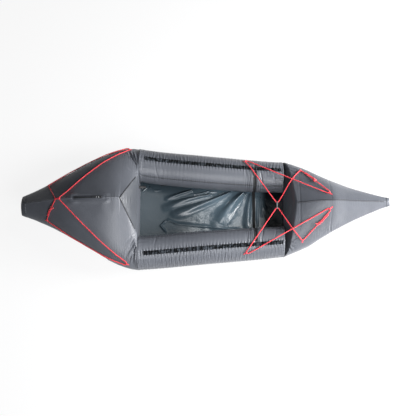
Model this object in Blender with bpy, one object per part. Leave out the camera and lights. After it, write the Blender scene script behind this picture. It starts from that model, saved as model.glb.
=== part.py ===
# Packraft: a one-person inflatable boat of coated fabric, with its shock cords, zip and valves.
# +X points to the bow, +Y to port and +Z up. The side tubes rest on z = 0, below the middle of the hull.

from math import cos, pi, radians, sin

import bmesh
import bpy
from mathutils import Vector
from mathutils.bvhtree import BVHTree

# Clearance between pieces that touch, overrun of every cut, and the hull fabric
gap = 0.0003
overrun = 0.02
fabric = 0.0007

# Hull
hull_length = 2.83
stern_tip_x = -hull_length / 2
bow_tip_x = hull_length / 2
cockpit_stern_x = -0.515
cockpit_bow_x = 0.62
stern_height = 0.5045
bow_height = 0.432
roof_steps = 7
bilge_steps = 5
bilge_share = 0.77

# Side tubes: distance of the axis from the middle plane, radius, and rise of the two ends off the ground
stern_spread = 0.357
middle_spread = 0.302
bow_spread = 0.2615
stern_tube_radius = 0.130
middle_tube_radius = 0.1315
bow_tube_radius = 0.120
stern_rise = 0.030
bow_rise = 0.024
flat_keel_half = 0.25
tube_sides = 24
stations_per_stretch = 3
station_margin = 0.003

# Slanted panel behind the paddler, and the slanted rear face of the bow: top edge, lower edge, bulge, depth.
# The edges are shares of the stern's and the bow's stretch and height.
apex_share = 0.8644
lip_share = 0.6145
bow_crease_share = 0.1044
bow_crease_height_share = 0.787
bow_foot_height_share = 0.3472
apex_x = stern_tip_x + (cockpit_stern_x - stern_tip_x) * apex_share
lip_z = stern_height * lip_share
panel_bulge = 0.012
bow_crease_x = cockpit_bow_x + (bow_tip_x - cockpit_bow_x) * bow_crease_share
bow_crease_z = bow_height * bow_crease_height_share
bow_foot_z = bow_height * bow_foot_height_share
bow_bulge = 0.006
panel_depth = 0.003
panel_steps = 5

# A face whose direction is this much along the boat is a wall across it
wall_normal_share = 0.98
upright_share = 0.9

# Air passages between the chambers of the hull
passage_radius = 0.035
passage_height = 0.085

# Stern and bow from end to end, as shares of the stretch, of the half width and of the height:
# along the stretch, half width, height of the widest line, height of the ridge, height of the keel, roundness
stern_rows_share = (
    (0.000, 0.152, 0.472, 0.595, 0.387, 1.60),
    (0.128, 0.242, 0.519, 0.704, 0.317, 1.55),
    (0.239, 0.341, 0.561, 0.807, 0.254, 1.50),
    (0.350, 0.437, 0.589, 0.884, 0.198, 1.45),
    (0.450, 0.546, 0.599, 0.936, 0.157, 1.45),
    (0.572, 0.674, 0.591, 0.964, 0.119, 1.45),
    (0.728, 0.842, 0.539, 1.000, 0.091, 1.50),
    (0.839, 0.949, 0.460, 0.985, 0.075, 1.60),
    (0.906, 0.988, 0.420, 0.916, 0.067, 1.70),
    (0.950, 0.998, 0.387, 0.852, 0.063, 1.80),
    (1.000, 1.000, 0.317, 0.763, 0.060, 1.90),
)
bow_rows_share = (
    (0.000, 1.000, 0.333, 0.764, 0.056, 3.00),
    (0.126, 0.899, 0.382, 0.810, 0.079, 2.80),
    (0.239, 0.802, 0.428, 0.889, 0.111, 2.20),
    (0.352, 0.655, 0.521, 0.958, 0.167, 1.70),
    (0.465, 0.524, 0.590, 1.000, 0.259, 1.50),
    (0.579, 0.409, 0.630, 0.951, 0.370, 1.45),
    (0.690, 0.307, 0.688, 0.921, 0.491, 1.45),
    (0.805, 0.212, 0.741, 0.898, 0.606, 1.45),
    (0.912, 0.131, 0.799, 0.880, 0.713, 1.45),
    (1.000, 0.079, 0.829, 0.866, 0.792, 1.45),
)

# Colours, linear
BLACK_FABRIC = (0.030, 0.032, 0.037)
GREY_FABRIC = (0.060, 0.064, 0.074)
FLOOR_FABRIC = (0.020, 0.026, 0.029)
TAPE_GREY = (0.045, 0.048, 0.055)
LOOP_BLACK = (0.012, 0.012, 0.013)
CORD_RED = (0.640, 0.020, 0.030)
CLIP_GREY = (0.320, 0.330, 0.340)
PLASTIC_BLACK = (0.015, 0.015, 0.016)


# Clearing the scene, materials and finished objects
for old in list(bpy.data.objects):
    bpy.data.objects.remove(old)


def finish_of(name, colour, roughness, metallic=0.0):
    material = bpy.data.materials.get(name)
    if material:
        return material
    material = bpy.data.materials.new(name)
    material.use_nodes = True
    shader = material.node_tree.nodes["Principled BSDF"]
    shader.inputs["Base Color"].default_value = (*colour, 1.0)
    shader.inputs["Roughness"].default_value = roughness
    shader.inputs["Metallic"].default_value = metallic
    material.diffuse_color = (*colour, 1.0)
    return material


def piece(name, shape, finish, smooth=True, parent=None):
    """Makes the bmesh or mesh shape a named object with its material."""
    if isinstance(shape, bmesh.types.BMesh):
        mesh = bpy.data.meshes.new(name)
        shape.to_mesh(mesh)
        shape.free()
    else:
        mesh = shape
        mesh.name = name
    mesh.materials.clear()
    mesh.materials.append(finish)
    if smooth:
        mesh.shade_smooth()
        mesh.set_sharp_from_angle(angle=radians(40))
    made = bpy.data.objects.new(name, mesh)
    bpy.context.scene.collection.objects.link(made)
    if parent:
        made.parent = parent
        made.matrix_parent_inverse = parent.matrix_world.inverted()
    return made


def axis_empty(name, place, direction):
    """An empty on a joint's axis, with its Z along the axis."""
    empty = bpy.data.objects.new(name, None)
    empty.rotation_euler = direction.to_track_quat("Z", "Y").to_euler()
    empty.location = place
    bpy.context.scene.collection.objects.link(empty)
    bpy.context.view_layer.update()
    return empty


# Solids and cuts
def loft(rings, cyclic=False):
    """Joins rings of equal numbers of points with quads, and closes both ends unless the loft is cyclic."""
    shape = bmesh.new()
    rows = [[shape.verts.new(point) for point in ring] for ring in rings]
    count = len(rows[0])
    pairs = list(zip(rows, rows[1:]))
    if cyclic:
        pairs.append((rows[-1], rows[0]))
    for near, far in pairs:
        for i in range(count):
            j = (i + 1) % count
            shape.faces.new((near[i], near[j], far[j], far[i]))
    if not cyclic:
        shape.faces.new(rows[0])
        shape.faces.new(rows[-1])
    bmesh.ops.recalc_face_normals(shape, faces=shape.faces)
    return shape


def in_triangles(shape):
    """The same shape with only flat faces, so that every cut and every search sees one surface."""
    bmesh.ops.triangulate(shape, faces=shape.faces)
    return shape


def prism(outline, start, end):
    """A prism over an outline of (x, z) points, from start to end along Y."""
    return loft([[Vector((x, y, z)) for x, z in outline] for y in (start, end)])


def turned(profile, steps, place, frame):
    """Turns a closed outline of (radius, height) points round the frame's third axis."""
    across, up, along = frame
    rings = []
    for i in range(steps):
        turn = 2 * pi * i / steps
        spoke = across * cos(turn) + up * sin(turn)
        rings.append([place + spoke * radius + along * height for radius, height in profile])
    shape = loft(rings, cyclic=True)
    bmesh.ops.remove_doubles(shape, verts=shape.verts, dist=gap / 10)
    bmesh.ops.recalc_face_normals(shape, faces=shape.faces)
    return shape


def cylinder(place, along, radius, start, end, steps):
    """A closed cylinder round the line through place, from start to end along it."""
    across, up, along = frame_on(along)
    ring = [across * (radius * cos(2 * pi * i / steps)) + up * (radius * sin(2 * pi * i / steps))
            for i in range(steps)]
    return loft([[place + along * height + point for point in ring] for height in (start, end)])


def frame_on(along):
    """Two directions square to a direction, and the direction itself."""
    along = along.normalized()
    helper = Vector((0, 0, 1)) if abs(along.z) < upright_share else Vector((1, 0, 0))
    across = helper.cross(along).normalized()
    return across, along.cross(across), along


def box(low, high):
    """A closed box between two corners."""
    corners = ((low.y, low.z), (high.y, low.z), (high.y, high.z), (low.y, high.z))
    return loft([[Vector((x, y, z)) for y, z in corners] for x in (low.x, high.x)])


def combined(first, second, operation):
    """The exact union, difference or intersection of two bmeshes, which are used up."""
    holders = []
    for shape in (first, second):
        mesh = bpy.data.meshes.new("operand")
        shape.to_mesh(mesh)
        shape.free()
        holder = bpy.data.objects.new("operand", mesh)
        bpy.context.scene.collection.objects.link(holder)
        holders.append(holder)
    cut = holders[0].modifiers.new("cut", "BOOLEAN")
    cut.operation = operation
    cut.solver = "EXACT"
    cut.object = holders[1]
    seen = holders[0].evaluated_get(bpy.context.evaluated_depsgraph_get())
    result = bmesh.new()
    result.from_mesh(seen.to_mesh())
    seen.to_mesh_clear()
    for holder in holders:
        spent = holder.data
        bpy.data.objects.remove(holder)
        bpy.data.meshes.remove(spent)
    return result


def grown(shape, distance=gap):
    """A copy whose skin stands proud of the shape by a distance."""
    copy = shape.copy()
    copy.normal_update()
    moves = [vertex.normal * distance for vertex in copy.verts]
    for vertex, move in zip(copy.verts, moves):
        vertex.co += move
    return copy


def hollow(shape, inside):
    """What is left of a shape once the space inside the hull is taken out of it."""
    return combined(shape.copy(), inside.copy(), "DIFFERENCE")


# Side tubes: sizes along the boat
def along_tube(x, stern, middle, bow):
    """A size of the side tubes at x, on a smooth curve through its three given values."""
    share = (x - cockpit_stern_x) / (cockpit_bow_x - cockpit_stern_x)
    return (stern * (1 - share) * (1 - 2 * share) + middle * 4 * share * (1 - share)
            + bow * share * (2 * share - 1))


def smooth_rise(x):
    if x < -flat_keel_half:
        return stern_rise * ((-flat_keel_half - x) / (-flat_keel_half - cockpit_stern_x)) ** 2
    if x > flat_keel_half:
        return bow_rise * ((x - flat_keel_half) / (cockpit_bow_x - flat_keel_half)) ** 2
    return 0.0


def smooth_tube(x):
    """Distance of the tube's axis from the middle plane, its height, its radius and its rise."""
    spread = along_tube(x, stern_spread, middle_spread, bow_spread)
    radius = along_tube(x, stern_tube_radius, middle_tube_radius, bow_tube_radius)
    return spread, radius * cos(pi / tube_sides) + smooth_rise(x), radius, smooth_rise(x)


tube_marks = [cockpit_stern_x]
for low, high in ((cockpit_stern_x, -flat_keel_half), (-flat_keel_half, flat_keel_half),
                  (flat_keel_half, cockpit_bow_x)):
    tube_marks += [low + (high - low) * (i + 1) / stations_per_stretch for i in range(stations_per_stretch)]


def along_marks(x):
    """The tube's sizes at x, straight between its rings."""
    for near, far in zip(tube_marks, tube_marks[1:]):
        if x <= far:
            share = (x - near) / (far - near)
            return [a + (b - a) * share for a, b in zip(smooth_tube(near), smooth_tube(far))]
    return smooth_tube(tube_marks[-1])


def rise_at(x):
    return along_marks(x)[3]


def tube_at(x):
    """Distance of the tube's axis from the middle plane, its height and its radius."""
    return along_marks(x)[:3]


def tube_point(x, side, angle, lift=0.0):
    """A point on a side tube. The angle runs from straight up towards the middle of the boat."""
    spread, height, radius = tube_at(x)
    radius += lift
    return Vector((x, side * (spread - radius * sin(angle)), height + radius * cos(angle)))


def tube_stations(start, end):
    """The tube's rings between two ends, which are kept."""
    return [start] + [x for x in tube_marks if start + station_margin < x < end - station_margin] + [end]


def tube_solid(side, start, end):
    rings = []
    for x in tube_stations(start, end):
        rings.append([tube_point(x, side, 2 * pi * (i + 0.5) / tube_sides) for i in range(tube_sides)])
    return in_triangles(loft(rings))


def tube_band(side, start, end, from_angle, to_angle, low, high, steps):
    """A band laid on a side tube, between two angles and two heights above the fabric."""
    rings = []
    for x in tube_stations(start, end):
        angles = [from_angle + (to_angle - from_angle) * i / steps for i in range(steps + 1)]
        inner = [tube_point(x, side, angle, low) for angle in angles]
        outer = [tube_point(x, side, angle, high) for angle in reversed(angles)]
        rings.append(inner + outer)
    return loft(rings)


# Stern and bow: sections across the boat, each with a ridge, a widest line and a keel
def hull_section(x, half_width, widest_z, ridge_z, keel_z, roundness):
    side = []
    for i in range(roof_steps + 1):
        climb = 1 - i / roof_steps
        side.append((half_width * (1 - climb ** roundness), widest_z + (ridge_z - widest_z) * climb))
    for i in range(1, bilge_steps + 1):
        turn = pi / 2 * i / bilge_steps
        out = half_width * cos(turn) ** bilge_share if i < bilge_steps else 0.0
        side.append((out, widest_z - (widest_z - keel_z) * sin(turn) ** bilge_share))
    port = [Vector((x, y, z)) for y, z in side]
    starboard = [Vector((x, -y, z)) for y, z in reversed(side[1:-1])]
    return port + starboard


def end_solid(rows, tip_x, mouth_x, half_width, height):
    rings = []
    for along, width, widest, ridge, keel, roundness in rows:
        x = tip_x + (mouth_x - tip_x) * along
        rings.append(hull_section(x, half_width * width, height * widest, height * ridge, height * keel,
                                  roundness))
    return in_triangles(loft(rings))


def row_at(rows, along):
    """The section's shares at a place along the stretch, straight between the given rows."""
    for near, far in zip(rows, rows[1:]):
        if along <= far[0]:
            part = (along - near[0]) / (far[0] - near[0])
            return [a + (b - a) * part for a, b in zip(near, far)]
    return list(rows[-1])


def ridge_at(x):
    """Height of the stern's or the bow's ridge line."""
    if x < 0:
        return stern_height * row_at(stern_rows_share, (x - stern_tip_x) / (cockpit_stern_x - stern_tip_x))[3]
    return bow_height * row_at(bow_rows_share, (x - cockpit_bow_x) / (bow_tip_x - cockpit_bow_x))[3]


def slanted_profile(top_x, top_z, foot_x, foot_z, bulge, depth):
    """The bulged line from a slanted panel's top to its foot, moved into the hull by a depth."""
    top, foot = Vector((top_x, 0, top_z)), Vector((foot_x, 0, foot_z))
    out = Vector((top.z - foot.z, 0, abs(foot.x - top.x))).normalized()
    if foot_x < top_x:
        out.x = -out.x
    line = []
    for i in range(panel_steps + 1):
        share = i / panel_steps
        point = top.lerp(foot, share) + out * (bulge * 4 * share * (1 - share) - depth)
        line.append((point.x, point.z))
    return line


def panel_cutter(line, wall_x, top_z):
    """The space in front of a slanted panel, over the cockpit."""
    side = 1 if wall_x > line[0][0] else -1
    start = (line[0][0] - (line[1][0] - line[0][0]), line[0][1] - (line[1][1] - line[0][1]))
    far_x = wall_x + side * overrun
    outline = [start] + line + [(far_x, line[-1][1]), (far_x, top_z + overrun), (start[0], top_z + overrun)]
    return prism(outline, -hull_length, hull_length)


def panel_zone(top_x, top_z, foot_x, foot_z, bulge, depth, above):
    """The slab along a slanted panel, from above its face to a depth below it."""
    upper = slanted_profile(top_x, top_z, foot_x, foot_z, bulge, -above)
    lower = slanted_profile(top_x, top_z, foot_x, foot_z, bulge, depth)
    return prism(upper + lower[::-1], -hull_length, hull_length)


# Hull volumes
stern_half_width = stern_spread + stern_tube_radius
bow_half_width = bow_spread + bow_tube_radius
apex_z = ridge_at(apex_x)
stern_solid = end_solid(stern_rows_share, stern_tip_x, cockpit_stern_x, stern_half_width, stern_height)
bow_solid = end_solid(bow_rows_share, cockpit_bow_x, bow_tip_x, bow_half_width, bow_height)
back_line = slanted_profile(apex_x, apex_z, cockpit_stern_x, lip_z, panel_bulge, 0)
stern_solid = combined(stern_solid, panel_cutter(back_line, cockpit_stern_x, stern_height), "DIFFERENCE")
bow_line = slanted_profile(bow_crease_x, bow_crease_z, cockpit_bow_x, bow_foot_z, bow_bulge, 0)
bow_solid = combined(bow_solid, panel_cutter(bow_line, cockpit_bow_x, bow_height), "DIFFERENCE")

# Root of each side tube in the stern: it narrows into the stern's volume
root_length = 0.20
root_radius = 0.095
root_inset = 0.030
root_rise = 0.035


def tube_root(side):
    spread, height, radius = tube_at(cockpit_stern_x)
    rings = []
    for step in range(stations_per_stretch + 1):
        share = step / stations_per_stretch
        size = radius + (root_radius - radius) * share
        centre = Vector((cockpit_stern_x - root_length * share,
                         side * (spread - root_inset * share), height + root_rise * share))
        turns = [2 * pi * (i + 0.5) / tube_sides for i in range(tube_sides)]
        rings.append([centre + Vector((0, -side * size * sin(turn), size * cos(turn))) for turn in turns])
    return in_triangles(loft(rings))


for side in (1, -1):
    stern_solid = combined(stern_solid, tube_root(side), "UNION")

tube_solids = {side: tube_solid(side, cockpit_stern_x + gap, cockpit_bow_x - gap) for side in (1, -1)}
stern_grown = grown(stern_solid)
bow_grown = grown(bow_solid)
tubes_grown = {side: grown(tube_solids[side]) for side in (1, -1)}


def skin_tree():
    """One search tree over all the hull's volumes, without the walls across the boat where they meet."""
    points, faces = [], []
    for shape in (stern_solid, bow_solid, tube_solids[1], tube_solids[-1]):
        start = len(points)
        shape.verts.index_update()
        shape.normal_update()
        points += [vertex.co.copy() for vertex in shape.verts]
        faces += [[start + vertex.index for vertex in face.verts] for face in shape.faces
                  if abs(face.normal.x) < wall_normal_share]
    return BVHTree.FromPolygons(points, faces)


hull_tree = skin_tree()


def skin_point(point):
    """The nearest point of the hull's skin, the direction out of it, and the height of the point above it."""
    place, normal, _, _ = hull_tree.find_nearest(point)
    return place, normal, (point - place).dot(normal)


def soft_normal(point, reach):
    """The skin's outward direction round a point, taken over its edges."""
    total = Vector((0, 0, 0))
    for step in (Vector((reach, 0, 0)), Vector((0, reach, 0)), Vector((0, 0, reach))):
        for sign in (1, -1):
            total += skin_point(point + step * sign)[1]
    return total.normalized()


# Hull skins, with their air passages and the slanted panels as pieces of their own
hull_finish = finish_of("hull_fabric", BLACK_FABRIC, 0.45)
panel_finish = finish_of("panel_fabric", GREY_FABRIC, 0.45)
cap_lip = 0.002


def mouth_cutter(side):
    spread, height, radius = tube_at(cockpit_stern_x)
    return cylinder(Vector((cockpit_stern_x, side * spread, height)), Vector((1, 0, 0)),
                    (radius - fabric) * cos(pi / tube_sides) - cap_lip, -panel_depth, panel_depth, tube_sides)


def passage_cutter(side):
    spread, height, radius = tube_at(cockpit_bow_x)
    return cylinder(Vector((cockpit_bow_x, side * spread, passage_height)), Vector((1, 0, 0)),
                    passage_radius, -panel_depth, panel_depth, tube_sides // 2)


# Places of the two valves: on the inner side of the starboard tube, and on the stern's front wall
valve_x = -0.200
valve_angle = radians(120)
valve_hole_radius = 0.017
valve_place = skin_point(tube_point(valve_x, -1, valve_angle))[0]
valve_out = Vector((0, sin(valve_angle), cos(valve_angle)))
mouth_place = Vector((cockpit_stern_x, 0.165, 0.200))
mouth_out = Vector((1, 0, 0))
mouth_hole_radius = 0.0065
valve_steps = 20
back_sizes = (apex_x, apex_z, cockpit_stern_x, lip_z, panel_bulge)
bow_sizes = (bow_crease_x, bow_crease_z, cockpit_bow_x, bow_foot_z, bow_bulge)
stern_inside = grown(stern_solid, -fabric)
bow_inside = grown(bow_solid, -fabric)


def panel_of(solid, inside, sizes):
    """The skin within the slab along a slanted panel."""
    return hollow(combined(solid.copy(), panel_zone(*sizes, panel_depth, panel_depth), "INTERSECT"), inside)


def rest_of(solid, inside, sizes):
    """The skin outside that slab."""
    slab = panel_zone(*sizes, panel_depth + gap, panel_depth)
    return hollow(combined(solid.copy(), slab, "DIFFERENCE"), inside)


back_panel = panel_of(stern_solid, stern_inside, back_sizes)
bow_panel = panel_of(bow_solid, bow_inside, bow_sizes)
stern_skin = rest_of(stern_solid, stern_inside, back_sizes)
bow_skin = rest_of(bow_solid, bow_inside, bow_sizes)
tube_skins = {side: hollow(tube_solids[side], grown(tube_solids[side], -fabric)) for side in (1, -1)}
for side in (1, -1):
    stern_skin = combined(stern_skin, mouth_cutter(side), "DIFFERENCE")
    tube_skins[side] = combined(tube_skins[side], mouth_cutter(side), "DIFFERENCE")
    bow_skin = combined(bow_skin, passage_cutter(side), "DIFFERENCE")
    tube_skins[side] = combined(tube_skins[side], passage_cutter(side), "DIFFERENCE")

tube_skins[-1] = combined(tube_skins[-1], cylinder(valve_place, valve_out, valve_hole_radius, -panel_depth,
                                                   panel_depth, valve_steps), "DIFFERENCE")
mouth_hole = cylinder(mouth_place, mouth_out, mouth_hole_radius, -panel_depth, panel_depth, valve_steps)
stern_skin = combined(stern_skin, mouth_hole, "DIFFERENCE")

piece("stern_hull", stern_skin, hull_finish)
piece("back_panel", back_panel, panel_finish)
piece("bow_hull", bow_skin, hull_finish)
piece("bow_rear_panel", bow_panel, hull_finish)
piece("port_side_tube", tube_skins[1], hull_finish)
piece("starboard_side_tube", tube_skins[-1], hull_finish)


# Floor: a sheet between the side tubes, welded low on their inner sides
floor_thickness = 0.001
floor_clear = 0.0015
weld_angle = radians(140)
weld_bite = 0.004
floor_rows_share = ((0.0, 0.0), (0.5, 0.0), (0.8, 0.22), (0.93, 0.62), (1.0, 1.0))
floor_finish = finish_of("floor_fabric", FLOOR_FABRIC, 0.2)


def floor_point(x, row, side, lift=0.0):
    """A point of the floor's top, at one of its rows between the middle and a weld."""
    across, climb = floor_rows_share[row]
    edge = tube_point(x, side, weld_angle, -weld_bite)
    low = rise_at(x) + floor_clear
    return Vector((x, edge.y * across, low + (edge.z - low) * climb + floor_thickness + lift))


def floor_row(x, lift):
    rows = range(len(floor_rows_share))
    starboard = [floor_point(x, row, -1, lift) for row in reversed(rows[1:])]
    return starboard + [floor_point(x, row, 1, lift) for row in rows]


floor = loft([floor_row(x, 0) + floor_row(x, -floor_thickness)[::-1]
              for x in tube_stations(cockpit_stern_x + gap, cockpit_bow_x - gap)])
for side in (1, -1):
    floor = combined(floor, tubes_grown[side].copy(), "DIFFERENCE")
piece("floor_sheet", floor, floor_finish)

# Bands on the side tubes: hook-and-loop strips, long seam tapes, and tapes round the stern ends
strip_angle = radians(-13)
strip_width = 0.036
strip_thickness = 0.002
strip_start_x = -0.465
strip_end_x = 0.605
seam_angle = radians(52)
seam_width = 0.012
tape_thickness = 0.0008
joint_tape_width = 0.022
joint_tape_out_angle = radians(-100)
joint_tape_in_angle = radians(134)
band_step = radians(6)
tape_finish = finish_of("seam_tape", TAPE_GREY, 0.5)
strip_finish = finish_of("hook_and_loop", LOOP_BLACK, 0.95)


def narrow_band(side, start, end, angle, width, thickness):
    half = width / 2 / middle_tube_radius
    steps = max(2, round(2 * half / band_step) + 1)
    return tube_band(side, start, end, angle - half, angle + half, gap, gap + thickness, steps)


side_names = {1: "port", -1: "starboard"}
for side, side_name in side_names.items():
    strip = narrow_band(side, strip_start_x, strip_end_x, strip_angle, strip_width, strip_thickness)
    piece(side_name + "_hook_loop_strip", strip, strip_finish)
    piece(side_name + "_tube_seam",
          narrow_band(side, cockpit_stern_x + joint_tape_width + 2 * gap, cockpit_bow_x - gap, seam_angle,
                      seam_width, tape_thickness), tape_finish)
    turns = round((joint_tape_in_angle - joint_tape_out_angle) / band_step)
    piece(side_name + "_stern_joint_tape",
          tube_band(side, cockpit_stern_x + gap, cockpit_stern_x + joint_tape_width, joint_tape_out_angle,
                    joint_tape_in_angle, gap, gap + tape_thickness, turns), tape_finish)

# Cross strap over both tubes and the floor, with a patch under each end
strap_x = 0.395
strap_width = 0.025
strap_thickness = 0.0013
strap_lift = 0.0015
strap_top_angle = radians(-3)
strap_low_angle = radians(124)
strap_steps = 14
patch_length = 0.034
patch_width = 0.040
strap_finish = finish_of("strap_webbing", LOOP_BLACK, 0.8)


def strap_ring(places, lifts):
    low, high = lifts
    near, far = places
    return [near(low), far(low), far(high), near(high)]


def strap_rings():
    lifts = (strap_lift, strap_lift + strap_thickness)
    ends = (strap_x - strap_width / 2, strap_x + strap_width / 2)
    rings = []
    for side in (1, -1):
        half = []
        for i in range(strap_steps + 1):
            angle = strap_top_angle + (strap_low_angle - strap_top_angle) * i / strap_steps
            places = [lambda lift, x=x, angle=angle: tube_point(x, side, angle, lift) for x in ends]
            half.append(strap_ring(places, lifts))
        for row in (2, 1):
            places = [lambda lift, x=x, row=row: floor_point(x, row, side, lift) for x in ends]
            half.append(strap_ring(places, (gap, gap + strap_thickness)))
        rings = half if side == 1 else rings + half[::-1]
    return rings


piece("cross_strap", loft(strap_rings()), strap_finish)
for side, side_name in side_names.items():
    top = strap_top_angle + patch_length / 2 / middle_tube_radius
    piece(side_name + "_strap_patch",
          tube_band(side, strap_x - patch_width / 2, strap_x + patch_width / 2,
                    top - patch_length / 2 / middle_tube_radius, top + patch_length / 2 / middle_tube_radius,
                    gap, gap + tape_thickness, 4), tape_finish)

# Seat tabs: folded webbing low on the inner side of each tube
seat_tab_x = -0.335
seat_tab_length = 0.070
seat_tab_angle = radians(114)
seat_tab_width = 0.025
seat_tab_thickness = 0.0022
for side, side_name in side_names.items():
    ends = (seat_tab_x - seat_tab_length / 2, seat_tab_x + seat_tab_length / 2)
    seat_tab = narrow_band(side, *ends, seat_tab_angle, seat_tab_width, seat_tab_thickness)
    piece(side_name + "_seat_tab", seat_tab, strap_finish)


# Strips and tabs laid on the stern and the bow
def laid_strip(path, half_width, thickness, reach=0.004):
    """A strip that follows the skin under a path, before the hull is cut out of it."""
    rings = []
    for i, point in enumerate(path):
        ahead = path[min(i + 1, len(path) - 1)] - path[max(i - 1, 0)]
        middle_normal = soft_normal(skin_point(point)[0], reach)
        across = middle_normal.cross(ahead).normalized()
        low, high = [], []
        for share in (-1, -0.5, 0, 0.5, 1):
            place = skin_point(point + across * (half_width * share))[0]
            normal = middle_normal if share == 0 else soft_normal(place, reach)
            low.append(place - normal * thickness)
            high.append(place + normal * (gap + thickness))
        rings.append(low + high[::-1])
    return loft(rings)


def stern_roof_y(x, z):
    """Half the stern's width at a height, on its roof."""
    row = row_at(stern_rows_share, (x - stern_tip_x) / (cockpit_stern_x - stern_tip_x))
    widest, ridge = stern_height * row[2], stern_height * row[3]
    climb = min(1.0, max(0.0, (z - widest) / (ridge - widest)))
    return stern_half_width * row[1] * (1 - climb ** row[5])


def ridge_path(rows, tip_x, mouth_x, start, end):
    stations = [tip_x + (mouth_x - tip_x) * row[0] for row in rows]
    places = [start] + [x for x in stations if start + station_margin < x < end - station_margin] + [end]
    return [Vector((x, 0, ridge_at(x))) for x in places]


ridge_tape_half = 0.009
tip_weld_length = 0.045
zip_start_share = 0.4778
zip_bend_share = 0.7278
zip_end_share = 0.7411
zip_start_x, zip_bend_x, zip_end_x = [stern_tip_x + (cockpit_stern_x - stern_tip_x) * share
                                      for share in (zip_start_share, zip_bend_share, zip_end_share)]
zip_margin = 0.012
stern_path = ridge_path(stern_rows_share, stern_tip_x, cockpit_stern_x, stern_tip_x + tip_weld_length,
                        zip_start_x - zip_margin)
stern_tape = laid_strip(stern_path, ridge_tape_half, tape_thickness)
stern_tape = combined(stern_tape, stern_grown.copy(), "DIFFERENCE")
piece("stern_ridge_tape", stern_tape, tape_finish)
bow_path = ridge_path(bow_rows_share, cockpit_bow_x, bow_tip_x, bow_crease_x + zip_margin,
                      bow_tip_x - tip_weld_length)
bow_tape = combined(laid_strip(bow_path, ridge_tape_half, tape_thickness), bow_grown.copy(), "DIFFERENCE")
piece("bow_ridge_tape", bow_tape, tape_finish)

# Tape on the Y seam: its stem on the ridge and its two arms along the slanted panel's edges
arm_half_width = 0.007
arm_end_share = 0.86
y_tape = laid_strip(ridge_path(stern_rows_share, stern_tip_x, cockpit_stern_x, zip_end_x + zip_margin,
                               apex_x - ridge_tape_half / 2), ridge_tape_half, tape_thickness)
arm_count = round(panel_steps * arm_end_share)
for side in (1, -1):
    arm = [Vector((x, side * stern_roof_y(x, z), z)) for x, z in back_line[:arm_count + 1]]
    arm[0] = Vector((apex_x - ridge_tape_half, 0, ridge_at(apex_x)))
    y_tape = combined(y_tape, laid_strip(arm, arm_half_width, tape_thickness), "UNION")
y_tape = combined(y_tape, stern_grown.copy(), "DIFFERENCE")
piece("y_seam_tape", y_tape, tape_finish)

# Shock cord: 8 mm elastic rope, held in folded webbing tabs
cord_radius = 0.004
cord_clear = 0.0009
bend_radius = 0.013
bend_steps = 3
leg_steps = 60
settle_rounds = 260
settle_share = 1.8
straight_within = 0.0004
webbing_thickness = 0.0012
webbing_width = 0.008
eye_clear = 0.0022
tail_length = 0.026
eye_radius = cord_radius + eye_clear + webbing_thickness / 2
anchor_lift = gap + webbing_thickness / 2 + eye_radius
strip_cover = strap_lift + strap_thickness
knot_turns = 2.25
knot_steps = 12
knot_pitch = 2 * cord_radius + 0.0008
knot_radius = 2 * cord_radius + 0.0008
knot_lift = knot_radius + cord_radius + cord_clear
knot_tail = 0.022
knot_ease = 0.010
knot_ease_angle = radians(14)
cord_finish = finish_of("shock_cord", CORD_RED, 0.5)
tab_finish = finish_of("red_webbing", CORD_RED, 0.7)


class Corner:
    """Where a cord turns back through a tab, a band or a clip."""

    def __init__(self, name, place, normal):
        self.name, self.place, self.normal = name, place, normal

    def bend(self, before, after):
        """The cord's points round the bend, from the leg that comes in to the leg that leaves."""
        legs = []
        for other in (before, after):
            leg = other - self.place
            legs.append((leg - self.normal * leg.dot(self.normal)).normalized())
        self.back = (legs[0] + legs[1]).normalized()
        self.side = self.normal.cross(self.back)
        turn = pi / 2 - legs[0].angle(self.back)
        sign = 1 if legs[0].dot(self.side) > 0 else -1
        centre = self.place + self.back * bend_radius
        self.points = []
        for i in range(-bend_steps, bend_steps + 1):
            angle = -sign * turn * i / bend_steps
            self.points.append(centre + (self.side * sin(angle) - self.back * cos(angle)) * bend_radius)


def skin_corner(name, x, y, z):
    """A corner held on the hull's skin near a point."""
    place = skin_point(Vector((x, y, z)))[0]
    normal = soft_normal(place, 2 * cord_radius)
    return Corner(name, place + normal * anchor_lift, normal)


def nearest_on(strand, point):
    best = None
    for a, b in zip(strand, strand[1:]):
        span = b - a
        share = min(1.0, max(0.0, (point - a).dot(span) / span.length_squared))
        near = a + span * share
        distance = (point - near).length
        if best is None or distance < best[0]:
            best = (distance, near)
    return best


def lifted(point, height, crossed):
    """The point moved out of the hull, to a height over its skin or more, and over a cord that it crosses."""
    place, normal, above = skin_point(point)
    if above <= 0:
        point = place + normal * height
    elif (point - place).length < height:
        point = place + (point - place).normalized() * height
    if crossed:
        distance, near = nearest_on(crossed, point)
        apart = 2 * cord_radius + cord_clear
        if distance < apart:
            level = Vector((point.x - near.x, point.y - near.y, 0)).length
            if level < apart:
                point = Vector((point.x, point.y, max(point.z, near.z + (apart ** 2 - level ** 2) ** 0.5)))
    return point


def taut_leg(start, end, cover, knot_share=None, crossed=None):
    """The shortest way over the hull between two bends, as a stretched cord takes it."""
    points = [start.lerp(end, i / leg_steps) for i in range(leg_steps + 1)]
    length = (end - start).length
    low = cord_radius + cord_clear + cover
    heights = [low] * (leg_steps + 1)
    if knot_share is not None:
        for i in range(leg_steps + 1):
            if abs(i / leg_steps - knot_share) * length < knot_turns * knot_pitch:
                heights[i] = knot_lift
    for turn in range(settle_rounds):
        for i in range(1, leg_steps):
            pull = (points[i - 1] + points[i + 1]) / 2 - points[i]
            points[i] = lifted(points[i] + pull * settle_share, heights[i], crossed)
    for i in range(leg_steps):
        for share in (0.25, 0.5, 0.75):
            spot = points[i].lerp(points[i + 1], share)
            move = lifted(spot, low, crossed) - spot
            for j in (i, i + 1):
                if 0 < j < leg_steps:
                    points[j] = points[j] + move
    return points


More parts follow.
